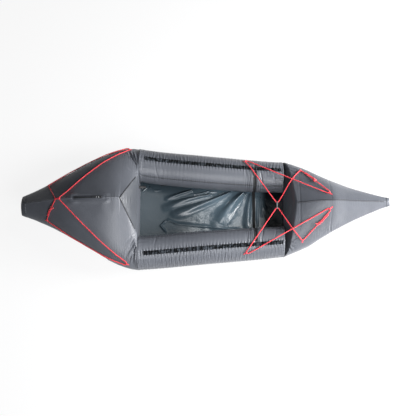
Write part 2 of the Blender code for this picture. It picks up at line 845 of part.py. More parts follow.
def thinned(points):
    """The points that a line needs to stay within the allowed distance of all of them."""
    if len(points) < 3:
        return points
    span = points[-1] - points[0]
    far, index = 0.0, 0
    for i in range(1, len(points) - 1):
        share = (points[i] - points[0]).dot(span) / span.length_squared
        away = (points[i] - points[0] - span * share).length
        if away > far:
            far, index = away, i
    if far <= straight_within:
        return [points[0], points[-1]]
    return thinned(points[:index + 1])[:-1] + thinned(points[index:])


def tube_curve(name, points, radius, detail, finish, closed):
    curve = bpy.data.curves.new(name, "CURVE")
    curve.dimensions = "3D"
    curve.bevel_depth = radius
    curve.bevel_resolution = detail
    curve.use_fill_caps = True
    spline = curve.splines.new("POLY")
    spline.points.add(len(points) - 1)
    for slot, point in zip(spline.points, points):
        slot.co = (*point, 1)
    spline.use_cyclic_u = closed
    curve.materials.append(finish)
    made = bpy.data.objects.new(name, curve)
    bpy.context.scene.collection.objects.link(made)
    return made


def cord_loop(name, corners, cover, knot_leg, knot_share, crossing_leg=None, crossed_leg=None):
    """A closed loop of cord round its corners. Returns the leg that its knot sits on."""
    count = len(corners)
    for i, corner in enumerate(corners):
        corner.bend(corners[i - 1].place, corners[(i + 1) % count].place)
    legs = {}
    for i in sorted(range(count), key=lambda i: i == crossing_leg):
        start, end = corners[i].points[-1], corners[(i + 1) % count].points[0]
        legs[i] = taut_leg(start, end, cover, knot_share if i == knot_leg else None,
                           legs.get(crossed_leg) if i == crossing_leg else None)
    route = []
    for i in range(count):
        route += corners[i].points + thinned(legs[i])[1:-1]
    tube_curve(name, route, cord_radius, 2, cord_finish, True)
    return legs[knot_leg]


def knot(name, leg, share, end_share):
    """One end of the cord: it lies beside the loop, winds round it, and stands off as a short tail."""
    middle, first = round(share * leg_steps), round(end_share * leg_steps)
    step = 1 if first < middle else -1
    place = leg[middle]
    along = (leg[middle + 2 * step] - leg[middle - 2 * step]).normalized()
    out = skin_point(place)[1]
    up = (out - along * out.dot(along)).normalized()
    across = up.cross(along)
    coil = []
    for i in range(1, round(knot_turns * knot_steps) + 1):
        coil.append((2 * pi * i / knot_steps, knot_pitch * (i / knot_steps - knot_turns / 2)))
    coil = [(knot_ease_angle * i, coil[0][1] - knot_ease * (2 - i) ** 2 / 4) for i in (0, 1)] + coil
    beside = []
    for i in range(first, middle, step):
        if (leg[i] - place).length > abs(coil[0][1]) + knot_ease:
            out = skin_point(leg[i])[1]
            aside = out.cross((leg[i + step] - leg[i]).normalized()).normalized()
            beside.append(lifted(leg[i] + aside * knot_radius, cord_radius + cord_clear, None))
    points = thinned(beside)
    for turn, height in coil:
        points.append(place + (across * cos(turn) + up * sin(turn)) * knot_radius + along * height)
    away = (points[-1] - points[-2]).normalized() * knot_tail
    points.append(points[-1] + away / 2)
    points.append(points[-1] + away / 2 + along * cord_radius)
    tube_curve(name, points, cord_radius, 1, cord_finish, False)
    return min((points[i] - points[j]).length for i in range(len(points))
               for j in range(i + knot_steps - 1, len(points))) - 2 * cord_radius


def bent_strip(points, outs, across, width, thickness, cyclic=False):
    """A flat strip bent along points, given the direction out of its face at each."""
    rings = []
    for point, out in zip(points, outs):
        half, side = out * (thickness / 2), across * (width / 2)
        rings.append([point - half - side, point - half + side, point + half + side, point + half - side])
    return loft(rings, cyclic)


eye_steps = 10
eye_end_angle = radians(215)
tail_steps = 3


def anchor_tab(corner, base):
    """Webbing folded round the cord's bend, its tail welded flat on the hull behind it."""
    foot = corner.place - corner.normal * anchor_lift
    points, outs = [], []
    for i in range(tail_steps):
        place = skin_point(foot - corner.back * (tail_length * (1 - i / tail_steps)))[0]
        out = soft_normal(place, 2 * cord_radius)
        points.append(place + out * (gap + webbing_thickness / 2))
        outs.append(out)
    for i in range(eye_steps + 1):
        angle = -pi / 2 + (eye_end_angle + pi / 2) * i / eye_steps
        spoke = corner.back * cos(angle) + corner.normal * sin(angle)
        points.append(corner.place + spoke * eye_radius)
        outs.append(-spoke)
    tab = bent_strip(points, outs, corner.side, webbing_width, webbing_thickness)
    piece(corner.name, combined(tab, base.copy(), "DIFFERENCE"), tab_finish)


# Where the cords turn, on the port side: x, y and z near the skin
stern_tip_tab = (-1.196, 0.132, 0.330)
stern_wide_tab = (-0.600, 0.448, 0.240)
bow_aft_tab = (0.322, 0.367, 0.225)
bow_side_tab = (0.752, 0.279, 0.275)
bow_ridge_tab = (0.951, 0.080, 0.420)
link_aft_x = -1.122
link_fore_x = -1.093
clip_x = 0.5636
clip_z = 0.270
clip_half_span = 0.0215
stern_knot_share = 0.58
stern_knot_end_share = 0.16
bow_knot_shares = {1: (0.47, 0.10), -1: (0.59, 0.90)}

# Stern loop: a triangle of cord on each side, joined over the ridge
stern_corners = {}
for side, side_name in side_names.items():
    for label, (x, y, z) in (("stern_tip_tab", stern_tip_tab), ("stern_wide_tab", stern_wide_tab)):
        stern_corners[label, side] = skin_corner(side_name + "_" + label, x, side * y, z)
links = []
for x in (link_aft_x, link_fore_x):
    link = skin_corner("link", x, 0, ridge_at(x))
    link.normal = Vector((link.normal.x, 0, link.normal.z)).normalized()
    link.place += link.normal * (3 * gap + tape_thickness)
    links.append(link)
knot_leg = cord_loop("stern_shock_cord",
                     [links[0], stern_corners["stern_tip_tab", 1], stern_corners["stern_wide_tab", 1],
                      links[1], stern_corners["stern_wide_tab", -1], stern_corners["stern_tip_tab", -1]],
                     0, 5, stern_knot_share)
knot_gap = knot("stern_cord_knot", knot_leg, stern_knot_share, stern_knot_end_share)
for corner in stern_corners.values():
    anchor_tab(corner, stern_grown)

# Webbing band over the ridge, round both turns of the stern cord
run = (links[1].place - links[0].place).normalized()
band_points, band_outs = [], []
for link, sign in zip(links, (-1, 1)):
    for i in range(eye_steps + 1):
        turn = pi * i / eye_steps
        spoke = (run * sin(turn) + link.normal * cos(turn)) * sign
        band_points.append(link.place + spoke * eye_radius)
        band_outs.append(spoke)
link_band = bent_strip(band_points, band_outs, Vector((0, 1, 0)), webbing_width, webbing_thickness,
                       cyclic=True)
piece("ridge_link_band", link_band, tab_finish)

# Bow loops, one on each side, drawn together by the clip over the cockpit
clip_places = {side: Vector((clip_x, side * clip_half_span, clip_z)) for side in (1, -1)}
for side, side_name in side_names.items():
    aft, wide, ridge = (skin_corner(side_name + "_" + label, x, side * y, z) for label, (x, y, z) in (
        ("bow_aft_tab", bow_aft_tab), ("bow_side_tab", bow_side_tab), ("bow_ridge_tab", bow_ridge_tab)))
    middle = Corner("clip_turn", clip_places[side], Vector((0, 0, 1)))
    share, end_share = bow_knot_shares[side]
    knot_leg = cord_loop(side_name + "_bow_shock_cord", [aft, middle, wide, ridge], strip_cover, 2, share,
                         crossing_leg=3, crossed_leg=1)
    knot_gap = min(knot_gap, knot(side_name + "_bow_cord_knot", knot_leg, share, end_share))
    anchor_tab(aft, tubes_grown[side])
    anchor_tab(wide, bow_grown)
    anchor_tab(ridge, bow_grown)
print("Least gap between the turns of a knot, mm:", round(knot_gap * 1000, 2))

# Grey clip: two eyes on a bar
clip_wall = 0.0018
clip_width = 0.008
clip_bar_height = 0.005
clip_finish = finish_of("clip_plastic", CLIP_GREY, 0.4)
clip_sides = 16
eye_hole = cord_radius + eye_clear
clip = box(Vector((clip_x - clip_width / 2, -clip_half_span, clip_z - clip_bar_height / 2)),
           Vector((clip_x + clip_width / 2, clip_half_span, clip_z + clip_bar_height / 2)))
for side in (1, -1):
    clip_eye = cylinder(clip_places[side], Vector((1, 0, 0)), eye_hole + clip_wall, -clip_width / 2,
                        clip_width / 2, clip_sides)
    clip = combined(clip, clip_eye, "UNION")
for side in (1, -1):
    clip = combined(clip, cylinder(clip_places[side], Vector((1, 0, 0)), eye_hole, -clip_width, clip_width,
                                   clip_sides), "DIFFERENCE")
piece("cord_clip", clip, clip_finish)

# Zip in the stern's ridge, in a frame along the ridge: u to the bow, v to port, w out of the hull
zip_low = Vector((zip_start_x, 0, ridge_at(zip_start_x)))
zip_line = Vector((zip_bend_x, 0, ridge_at(zip_bend_x))) - zip_low
zip_u = zip_line.normalized()
zip_v = Vector((0, 1, 0))
zip_w = zip_u.cross(zip_v)
zip_tape_half = 0.018
zip_tape_thickness = 0.0012
zip_tape_top = gap + zip_tape_thickness
row_low = zip_tape_top + gap
row_high = 0.0043
row_half = 0.0036
comb_half = 0.0010
comb_pitch = 0.0046
comb_gap = 0.0003
comb_start = 0.014
dock_room = 0.0405
comb_count = int(((zip_end_x - zip_start_x) / zip_u.x - comb_start - dock_room) / comb_pitch)
comb_end = comb_start + comb_pitch * comb_count
under_slope_share = 0.375
zip_finish = finish_of("zip_rubber", LOOP_BLACK, 0.7)
teeth_finish = finish_of("zip_teeth", PLASTIC_BLACK, 0.4)


def zip_point(u, v, w):
    return zip_low + zip_u * u + zip_v * v + zip_w * w


def zip_block(outline, low, high):
    """A block over an outline of (u, v) points, between two heights."""
    return loft([[zip_point(u, v, w) for u, v in outline] for w in (low, high)])


def zip_bar(outline, start, end):
    """A bar over an outline of (v, w) points, between two places along the zip."""
    return loft([[zip_point(u, v, w) for v, w in outline] for u in (start, end)])


def gable(half, shoulder, crown_half, top):
    """A section that sits astride the ridge: its underside falls to both sides."""
    foot = row_low - half * under_slope_share
    return [(-half, foot), (0, row_low), (half, foot), (half, shoulder), (crown_half, top),
            (-crown_half, top), (-half, shoulder)]


zip_path = ridge_path(stern_rows_share, stern_tip_x, cockpit_stern_x, zip_start_x, zip_end_x)
zip_tape = laid_strip(zip_path, zip_tape_half, zip_tape_thickness)
piece("zip_tape", combined(zip_tape, stern_grown.copy(), "DIFFERENCE"), zip_finish)


def tooth_row(side):
    """A spine with fingers that reach between those of the other row."""
    root = comb_half + comb_gap
    outline = [(comb_start, side * row_half), (comb_end, side * row_half), (comb_end, side * root)]
    offset = 0 if side == 1 else comb_pitch / 2
    finger = comb_pitch / 2 - comb_gap
    for i in reversed(range(comb_count)):
        middle = comb_start + comb_pitch * i + comb_pitch / 4 + offset
        for u, v in ((1, root), (1, -comb_half), (-1, -comb_half), (-1, root)):
            outline.append((middle + u * finger / 2, side * v))
    outline.append((comb_start, side * root))
    spine = [(side * (root + gap), row_low), (side * row_half, row_low - row_half * under_slope_share),
             (side * row_half, row_low + gap), (side * (root + gap), row_low + gap)]
    return combined(zip_block(outline, row_low, row_high), zip_bar(spine, comb_start, comb_end), "UNION")


piece("zip_port_teeth", tooth_row(1), teeth_finish)
piece("zip_starboard_teeth", tooth_row(-1), teeth_finish)

end_stop_length = 0.006
end_stop_half = 0.005
end_stop_top = 0.0052
dock_length = 0.018
dock_half = 0.008
dock_top = 0.0062
edge_round = 0.0012
piece("zip_end_stop", zip_bar(gable(end_stop_half, end_stop_top - edge_round, end_stop_half - edge_round,
                                    end_stop_top), comb_start - gap - end_stop_length, comb_start - gap),
      teeth_finish)
piece("zip_dock", zip_bar(gable(dock_half, dock_top - 2 * edge_round, dock_half - 2 * edge_round, dock_top),
                          comb_end + gap, comb_end + gap + dock_length), teeth_finish)

# Slider with its puller: the slider runs on the rows of teeth
slider_half_length = 0.013
slider_front_half = 0.0075
slider_rear_half = 0.0060
slider_low = 0.0021
slider_top = 0.0090
slider_chamfer = 0.0015
channel_half = row_half + 0.0004
channel_top = row_high + 0.0004
slider_u = comb_end - slider_half_length - gap
pin_u = slider_u - 0.006
pin_w = 0.0130
pin_radius = 0.0015
lug_inner = 0.0030
lug_outer = 0.0050
lug_half_length = 0.0035
knuckle_radius = 0.0035
knuckle_bore = 0.0018
knuckle_half = 0.0027
puller_length = 0.030
puller_half = 0.0045
puller_low = 0.0094
puller_thickness = 0.0020
puller_hole_radius = 0.0022
pin_steps = 12
slider_finish = finish_of("slider_metal", CLIP_GREY, 0.35, 0.8)
slide_axis = axis_empty("zip_slide_axis", zip_point(slider_u, 0, slider_low), -zip_u)
puller_axis = axis_empty("zip_puller_axis", zip_point(pin_u, 0, pin_w), zip_v)
puller_axis.parent = slide_axis
puller_axis.matrix_parent_inverse = slide_axis.matrix_world.inverted()


def slider_plan(inset):
    return [(slider_u - slider_half_length + inset, -slider_rear_half + inset),
            (slider_u + slider_half_length - inset, -slider_front_half + inset),
            (slider_u + slider_half_length - inset, slider_front_half - inset),
            (slider_u - slider_half_length + inset, slider_rear_half - inset)]


slider = loft([[zip_point(u, v, w) for u, v in slider_plan(inset)] for inset, w in (
    (0, slider_low), (0, slider_top - slider_chamfer), (slider_chamfer, slider_top))])
slider = combined(slider, zip_bar([(-channel_half, 0), (channel_half, 0), (channel_half, channel_top),
                                   (-channel_half, channel_top)], slider_u - 2 * slider_half_length,
                                  slider_u + 2 * slider_half_length), "DIFFERENCE")
for side in (1, -1):
    lug_ends = (pin_u - lug_half_length, pin_u + lug_half_length)
    lug = zip_block([(lug_ends[0], side * lug_inner), (lug_ends[1], side * lug_inner),
                     (lug_ends[1], side * lug_outer), (lug_ends[0], side * lug_outer)],
                    slider_top - slider_chamfer, pin_w + pin_radius + gap)
    slider = combined(slider, lug, "UNION")
pin = cylinder(zip_point(pin_u, 0, pin_w), zip_v, pin_radius, -lug_outer + gap, lug_outer - gap, pin_steps)
slider = combined(slider, pin, "UNION")
piece("zip_slider", slider, slider_finish, parent=slide_axis)

puller = zip_block([(pin_u, -knuckle_half), (pin_u, knuckle_half),
                    (pin_u - knuckle_radius - gap, knuckle_half),
                    (pin_u - 2 * knuckle_radius, puller_half), (pin_u - puller_length, puller_half),
                    (pin_u - puller_length, -puller_half), (pin_u - 2 * knuckle_radius, -puller_half),
                    (pin_u - knuckle_radius - gap, -knuckle_half)], puller_low, puller_low + puller_thickness)
knuckle = cylinder(zip_point(pin_u, 0, pin_w), zip_v, knuckle_radius, -knuckle_half, knuckle_half, pin_steps)
puller = combined(puller, knuckle, "UNION")
puller = combined(puller, cylinder(zip_point(pin_u, 0, pin_w), zip_v, knuckle_bore, -puller_half, puller_half,
                                   pin_steps), "DIFFERENCE")
puller = combined(puller, cylinder(zip_point(pin_u - puller_length + 2 * puller_hole_radius, 0, 0), zip_w,
                                   puller_hole_radius, 0, pin_w, pin_steps), "DIFFERENCE")
piece("zip_puller", puller, slider_finish, parent=puller_axis)

# Main valve on the starboard tube: welded base, screwed plug with a rubber flap under it, cap
valve_frame = frame_on(valve_out)
valve_finish = finish_of("valve_plastic", PLASTIC_BLACK, 0.35)
flap_finish = finish_of("flap_rubber", LOOP_BLACK, 0.6)
flange_radius = 0.028
flange_depth = 0.0050
flange_rim = 0.0008
flange_top = 0.0022
neck_radius = 0.0190
neck_top = 0.0090
spigot_radius = 0.0166
spigot_depth = 0.0090
base_bore = 0.0150
plug_radius = 0.0147
plug_low = -0.0050
plug_flange_low = neck_top + gap
plug_top = 0.0130
plug_bore = 0.0080
hub_radius = 0.0032
hub_bore = 0.0016
hub_height = 0.0025
spoke_width = 0.0022
flap_radius = 0.0110
flap_thickness = 0.0010
peg_radius = 0.0012
peg_top = 0.0010
cap_stem = 0.0076
cap_stem_low = 0.0040
cap_radius = 0.0180
cap_low = plug_top + gap
cap_top = 0.0160
grip_length = 0.0240
grip_width = 0.0040
grip_height = 0.0050


def valve_block(along_half, across_half, low, high, turn=0):
    """A block on the valve's axis, turned round it."""
    across, up, out = valve_frame
    first = across * cos(turn) + up * sin(turn)
    second = up * cos(turn) - across * sin(turn)
    return loft([[valve_place + out * height + first * a * along_half + second * b * across_half
                  for a, b in ((-1, -1), (1, -1), (1, 1), (-1, 1))] for height in (low, high)])


base = turned([(base_bore, -flange_depth), (flange_radius, -flange_depth), (flange_radius, flange_rim),
               (neck_radius, flange_top), (neck_radius, neck_top), (base_bore, neck_top)],
              valve_steps, valve_place, valve_frame)
base = combined(base, tubes_grown[-1].copy(), "DIFFERENCE")
base = combined(base, turned([(base_bore, -spigot_depth), (spigot_radius, -spigot_depth),
                              (spigot_radius, flange_top), (base_bore, flange_top)],
                             valve_steps, valve_place, valve_frame), "UNION")
piece("valve_base", base, valve_finish)

valve_axis = axis_empty("valve_axis", valve_place, valve_out)
plug = turned([(plug_bore, plug_low), (plug_radius, plug_low), (plug_radius, plug_flange_low),
               (neck_radius, plug_flange_low), (neck_radius, plug_top), (plug_bore, plug_top)],
              valve_steps, valve_place, valve_frame)
hub = turned([(hub_bore, plug_low), (hub_radius, plug_low), (hub_radius, plug_low + hub_height),
              (hub_bore, plug_low + hub_height)], pin_steps, valve_place, valve_frame)
for i in range(3):
    turn = 2 * pi * i / 3
    middle = (hub_radius + plug_bore) / 2
    across, up, out = valve_frame
    spoke_place = (across * cos(turn) + up * sin(turn)) * middle
    bar = valve_block(middle / 2, spoke_width / 2, plug_low + gap, plug_low + hub_height - gap, turn)
    bmesh.ops.translate(bar, verts=bar.verts, vec=spoke_place)
    hub = combined(hub, bar, "UNION")
piece("valve_plug", combined(plug, hub, "UNION"), valve_finish, parent=valve_axis)

flap = turned([(0, plug_low - gap - flap_thickness), (flap_radius, plug_low - gap - flap_thickness),
               (flap_radius, plug_low - gap), (peg_radius, plug_low - gap), (peg_radius, peg_top),
               (0, peg_top)], valve_steps, valve_place, valve_frame)
piece("valve_flap", flap, flap_finish, parent=valve_axis)

cap = turned([(0, cap_stem_low), (cap_stem, cap_stem_low), (cap_stem, cap_low), (cap_radius, cap_low),
              (cap_radius, cap_top), (0, cap_top)], valve_steps, valve_place, valve_frame)
cap_grip = valve_block(grip_length / 2, grip_width / 2, cap_top - gap, cap_top + grip_height)
cap = combined(cap, cap_grip, "UNION")
piece("valve_cap", cap, valve_finish, parent=valve_axis)

# Mouth valve on the stern's front wall: flange, tube and twisting nozzle
mouth_frame = frame_on(mouth_out)
mouth_bore = 0.0048
mouth_spigot = 0.0062
mouth_flange_radius = 0.0200
mouth_flange_rim = 0.0012
mouth_flange_top = 0.0024
mouth_collar = 0.0083
mouth_collar_top = 0.0120
hose_inner = 0.0086
hose_outer = 0.0100
hose_end = 0.0400
nozzle_stem = 0.0083
nozzle_stem_low = 0.0300
nozzle_ring = 0.0115
nozzle_ring_top = 0.0440
nozzle_lip = 0.0072
nozzle_top = 0.0540
nozzle_bore = 0.0035


def mouth_ring(profile):
    return turned(profile, valve_steps, mouth_place, mouth_frame)


piece("mouth_flange", mouth_ring([
    (mouth_bore, -panel_depth), (mouth_spigot, -panel_depth), (mouth_spigot, gap),
    (mouth_flange_radius, gap), (mouth_flange_radius, mouth_flange_rim), (mouth_collar, mouth_flange_top),
    (mouth_collar, mouth_collar_top),
    (mouth_bore, mouth_collar_top)]), valve_finish)
piece("mouth_tube", mouth_ring([
    (hose_inner, mouth_flange_top + gap), (hose_outer, mouth_flange_top + gap), (hose_outer, hose_end),
    (hose_inner, hose_end)]), flap_finish)
mouth_axis = axis_empty("mouth_axis", mouth_place, mouth_out)
piece("mouth_nozzle", mouth_ring([
    (nozzle_bore, nozzle_stem_low), (nozzle_stem, nozzle_stem_low), (nozzle_stem, hose_end + gap),
    (nozzle_ring, hose_end + gap), (nozzle_ring, nozzle_ring_top), (nozzle_lip, nozzle_ring_top + gap),
    (nozzle_lip, nozzle_top), (nozzle_bore, nozzle_top)]), valve_finish, parent=mouth_axis)

# Flat welds that close the two tips
tip_tape_length = 0.022
stern_weld_x = stern_tip_x + tip_tape_length
bow_weld_x = bow_tip_x - tip_tape_length
for name, solid, near, far in (("stern_tip_weld", stern_solid, stern_tip_x - overrun, stern_weld_x),
                               ("bow_tip_weld", bow_solid, bow_weld_x, bow_tip_x + overrun)):
    block = box(Vector((near, -bow_half_width, 0)), Vector((far, bow_half_width, stern_height)))
    weld = combined(grown(solid, gap + tape_thickness), block, "INTERSECT")
    piece(name, combined(weld, grown(solid), "DIFFERENCE"), tape_finish)
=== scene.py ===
from math import cos, pi, radians, sin

import bpy
import numpy as np
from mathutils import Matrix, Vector
from mathutils.bvhtree import BVHTree


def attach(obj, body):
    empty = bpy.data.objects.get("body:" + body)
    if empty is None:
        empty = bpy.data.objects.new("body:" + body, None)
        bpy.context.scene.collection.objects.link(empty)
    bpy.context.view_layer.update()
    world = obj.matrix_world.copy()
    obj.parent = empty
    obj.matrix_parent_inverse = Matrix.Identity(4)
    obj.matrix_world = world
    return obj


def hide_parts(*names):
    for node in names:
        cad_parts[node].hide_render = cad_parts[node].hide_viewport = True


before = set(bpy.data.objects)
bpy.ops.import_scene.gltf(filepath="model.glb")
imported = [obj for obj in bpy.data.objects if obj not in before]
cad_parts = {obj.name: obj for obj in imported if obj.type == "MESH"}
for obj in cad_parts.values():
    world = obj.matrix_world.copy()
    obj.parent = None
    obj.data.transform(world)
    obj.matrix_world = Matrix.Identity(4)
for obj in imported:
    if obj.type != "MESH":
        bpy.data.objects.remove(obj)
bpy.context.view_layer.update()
bpy.ops.object.select_all(action="DESELECT")

# Camera: high over the boat and tipped fifteen degrees, with the stern on the left.
# The lens is long, so the boat shows almost without perspective.
camera_place, camera_tilt = (0.0276, -1.7974, 6.8915), radians(15)
lens_mm, sensor_mm = 76.7, 36
bpy.ops.object.camera_add(location=camera_place, rotation=(camera_tilt, 0, 0))
camera = bpy.context.object
camera.name = "studio_camera"
camera.data.lens = lens_mm
camera.data.sensor_width = sensor_mm
bpy.context.scene.camera = camera
bpy.context.scene.view_settings.view_transform = "Standard"

# Studio: a wide pale floor that keeps the boat's faint shadow, and large soft lamps. Most of the light comes
# low from the bow's side, so the stern's far slopes stay dark.
ground_radius, ground_drop = 300, 0.0005
mirrored_share, white_share = 0.45, 0.86


def add_node(tree, kind, **inputs):
    """Adds a shader node and sets its inputs, by socket name with spaces as underscores, or its settings."""
    made = tree.nodes.new(kind)
    for key, value in inputs.items():
        socket = made.inputs.get(key.replace("_", " "))
        if socket is None:
            setattr(made, key, value)
        elif isinstance(value, bpy.types.NodeSocket):
            tree.links.new(value, socket)
        else:
            socket.default_value = value
    return made


def math_node(tree, operation, first, second):
    """The outcome of a math node on a socket and another socket or a number."""
    made = add_node(tree, "ShaderNodeMath", operation=operation)
    tree.links.new(first, made.inputs[0])
    if isinstance(second, bpy.types.NodeSocket):
        tree.links.new(second, made.inputs[1])
    else:
        made.inputs[1].default_value = second
    return made.outputs[0]


def new_finish(name, **looks):
    """An empty material, its tree, and its Principled shader with some of its inputs set."""
    finish = bpy.data.materials.new(name)
    finish.use_nodes = True
    shader = finish.node_tree.nodes["Principled BSDF"]
    for key, value in looks.items():
        shader.inputs[key.replace("_", " ")].default_value = value
    return finish, finish.node_tree, shader


bpy.ops.mesh.primitive_circle_add(vertices=96, radius=ground_radius, fill_type="NGON",
                                  location=(0, 0, -ground_drop))
studio_floor = bpy.context.object
studio_floor.name = "studio_floor"
floor_paint, tree, shader = new_finish("studio_floor_paint")
tree.nodes.remove(shader)
rays = add_node(tree, "ShaderNodeLightPath").outputs
mirrored_white = math_node(tree, "MULTIPLY", rays["Is Glossy Ray"], mirrored_share)
seen = math_node(tree, "MAXIMUM", rays["Is Camera Ray"], mirrored_white)
seen_too = math_node(tree, "MAXIMUM", seen, rays["Is Transmission Ray"])
paint = add_node(tree, "ShaderNodeBsdfDiffuse", Color=(0.82, 0.82, 0.83, 1))
white = add_node(tree, "ShaderNodeEmission", Color=(1, 1, 1, 1), Strength=1.0)
both = add_node(tree, "ShaderNodeMixShader")
tree.links.new(math_node(tree, "MULTIPLY", seen_too, white_share), both.inputs[0])
tree.links.new(paint.outputs[0], both.inputs[1])
tree.links.new(white.outputs[0], both.inputs[2])
tree.links.new(both.outputs[0], tree.nodes["Material Output"].inputs["Surface"])
studio_floor.data.materials.append(floor_paint)

world = bpy.data.worlds.new("studio")
bpy.context.scene.world = world
world.use_nodes = True
world.node_tree.nodes["Background"].inputs["Color"].default_value = (0.95, 0.97, 1.0, 1)
world.node_tree.nodes["Background"].inputs["Strength"].default_value = 0.02


def soft_lamp(name, place, aim, width, power, tint):
    """A square soft lamp at a place, turned to the point it lights."""
    bpy.ops.object.light_add(type="AREA", location=place)
    lamp = bpy.context.object
    lamp.name = name
    lamp.rotation_euler = (Vector(aim) - Vector(place)).to_track_quat("-Z", "Y").to_euler()
    lamp.data.size = width
    lamp.data.energy = power
    lamp.data.color = tint


soft_lamp("bow_lamp", (2.85, 0.0, 1.6), (0.0, 0.0, 0.2), 1.6, 275, (1.0, 1.0, 1.0))
soft_lamp("port_bow_lamp", (2.54, 1.47, 0.80), (0.0, 0.0, 0.2), 1.3, 24, (0.98, 0.99, 1.0))
soft_lamp("starboard_bow_lamp", (2.54, -1.47, 0.80), (0.0, 0.0, 0.2), 1.3, 60, (1.0, 0.99, 0.98))
soft_lamp("starboard_lamp", (1.47, -2.54, 0.80), (0.2, 0.0, 0.2), 1.3, 8, (1.0, 0.99, 0.98))
soft_lamp("high_lamp", (0.2, -2.0, 2.5), (0.0, 0.0, 0.2), 1.8, 88, (0.97, 0.98, 1.0))
soft_lamp("top_lamp", (0.40, 0.95, 3.3), (0.25, 0.0, 0.0), 0.75, 20, (0.97, 0.99, 1.0))

# Shapes of the air chambers, as in the model: stern and bow sections as shares of their stretch, half width
# and height (along, half width, height of the widest line, ridge, keel, roundness), and the two side tubes,
# whose spreads and radii are those at the stern, in the middle and at the bow.
stern_tip_x, mouth_x, bow_start_x, bow_tip_x = -1.415, -0.515, 0.62, 1.415
stern_height, bow_height = 0.5045, 0.432
stern_half_width, bow_half_width = 0.487, 0.3815
stern_rows = (
    (0.000, 0.152, 0.472, 0.595, 0.387, 1.60), (0.128, 0.242, 0.519, 0.704, 0.317, 1.55),
    (0.239, 0.341, 0.561, 0.807, 0.254, 1.50), (0.350, 0.437, 0.589, 0.884, 0.198, 1.45),
    (0.450, 0.546, 0.599, 0.936, 0.157, 1.45), (0.572, 0.674, 0.591, 0.964, 0.119, 1.45),
    (0.728, 0.842, 0.539, 1.000, 0.091, 1.50), (0.839, 0.949, 0.460, 0.985, 0.075, 1.60),
    (0.906, 0.988, 0.420, 0.916, 0.067, 1.70), (0.950, 0.998, 0.387, 0.852, 0.063, 1.80),
    (1.000, 1.000, 0.317, 0.763, 0.060, 1.90),
)
bow_rows = (
    (0.000, 1.000, 0.333, 0.764, 0.056, 3.00), (0.126, 0.899, 0.382, 0.810, 0.079, 2.80),
    (0.239, 0.802, 0.428, 0.889, 0.111, 2.20), (0.352, 0.655, 0.521, 0.958, 0.167, 1.70),
    (0.465, 0.524, 0.590, 1.000, 0.259, 1.50), (0.579, 0.409, 0.630, 0.951, 0.370, 1.45),
    (0.690, 0.307, 0.688, 0.921, 0.491, 1.45), (0.805, 0.212, 0.741, 0.898, 0.606, 1.45),
    (0.912, 0.131, 0.799, 0.880, 0.713, 1.45), (1.000, 0.079, 0.829, 0.866, 0.792, 1.45),
)
tube_spreads, tube_radii, mean_radius = (0.357, 0.302, 0.2615), (0.130, 0.1315, 0.120), 0.13
bend_x, stern_rise, bow_rise = 0.25, 0.030, 0.024
flat_side_share, round_side_share = cos(pi / 24), 0.9957
both_sides = ((1, "port"), (-1, "starboard"))


def table_at(rows, places):
    """The rows' values at many places, straight between them."""
    table = np.array(rows)
    return np.stack([np.interp(places, table[:, 0], table[:, k]) for k in range(1, 6)], -1)


def eased(rows, places, spread):
    """The rows' values with the corners between them rounded off, as air pressure rounds them."""
    total, weights = 0, 0
    for step in np.linspace(-1, 1, 17):
        weight = cos(step * pi / 2) ** 2
        at = places + step * spread
        value = table_at(rows, np.abs(at))
        value = np.where(at[:, None] < 0, 2 * table_at(rows, np.zeros_like(at)) - value, value)
        past = 2 * table_at(rows, np.ones_like(at)) - table_at(rows, 2 - at)
        value = np.where(at[:, None] > 1, past, value)
        total, weights = total + weight * value, weights + weight
    return total / weights


def run_along(line):
    """Distances along a line of points, from 0 at its start."""
    return np.concatenate([[0], np.cumsum(np.linalg.norm(np.diff(line, axis=0), axis=1))])


def evenly(line, count):
    """Points at equal distances on a line through points."""
    run = run_along(line)
    at = np.linspace(0, run[-1], count)
    return np.stack([np.interp(at, run, column) for column in line.T], -1)


def smoothed(points, times):
    """A line or grid of points whose inner rows are drawn towards their neighbours, time after time."""
    for _ in range(times):
        points[1:-1] = (points[:-2] + 2 * points[1:-1] + points[2:]) / 4
    return points


def section(width, widest, ridge, keel, roundness, count):
    """Half a section across the boat, from ridge to keel, with points at equal distances."""
    climb = 1 - np.linspace(0, 1, 140) ** 1.2
    roof = np.stack([width * (1 - climb ** roundness), widest + (ridge - widest) * climb], -1)
    turn = np.linspace(0, pi / 2, 160)[1:]
    out = np.clip(np.cos(turn), 0, 1) ** 0.77
    bilge = np.stack([width * out, widest - (widest - keel) * np.sin(turn) ** 0.77], -1)
    return evenly(np.concatenate([roof, bilge]), count)


def ring_across(x, half):
    """A ring of points round the boat at x, from half a section and its mirror image."""
    port = np.column_stack([np.full(len(half), x), half])
    return np.concatenate([port, (port * (1, -1, 1))[-2:0:-1]])


def soft_min(a, b, reach):
    """The lower of two heights, with the corner between them rounded."""
    part = np.clip(0.5 + 0.5 * (b - a) / reach, 0, 1)
    return b * (1 - part) + a * part - reach * part * (1 - part)


def soft_step(low, high, value):
    """Rises smoothly from 0 to 1 between two values."""
    share = np.clip((value - low) / (high - low), 0, 1)
    return share * share * (3 - 2 * share)


def window(value, low, full, edge, high):
    """Rises smoothly from 0 to 1 between two values, and falls back to 0 between two more."""
    return soft_step(low, full, value) * (1 - soft_step(edge, high, value))


def bump(value, reach):
    """A bell of height 1 round 0, down to about a third at its reach."""
    return np.exp(-(value / reach) ** 2)


def fading(value, reach):
    """A sharp peak of height 1 at 0, down to about a third at its reach."""
    return np.exp(-np.abs(value) / reach)


def ripple(place, length, shift):
    """Waves of a length along a place, shifted by a phase."""
    return np.sin(place * 2 * pi / length + shift)


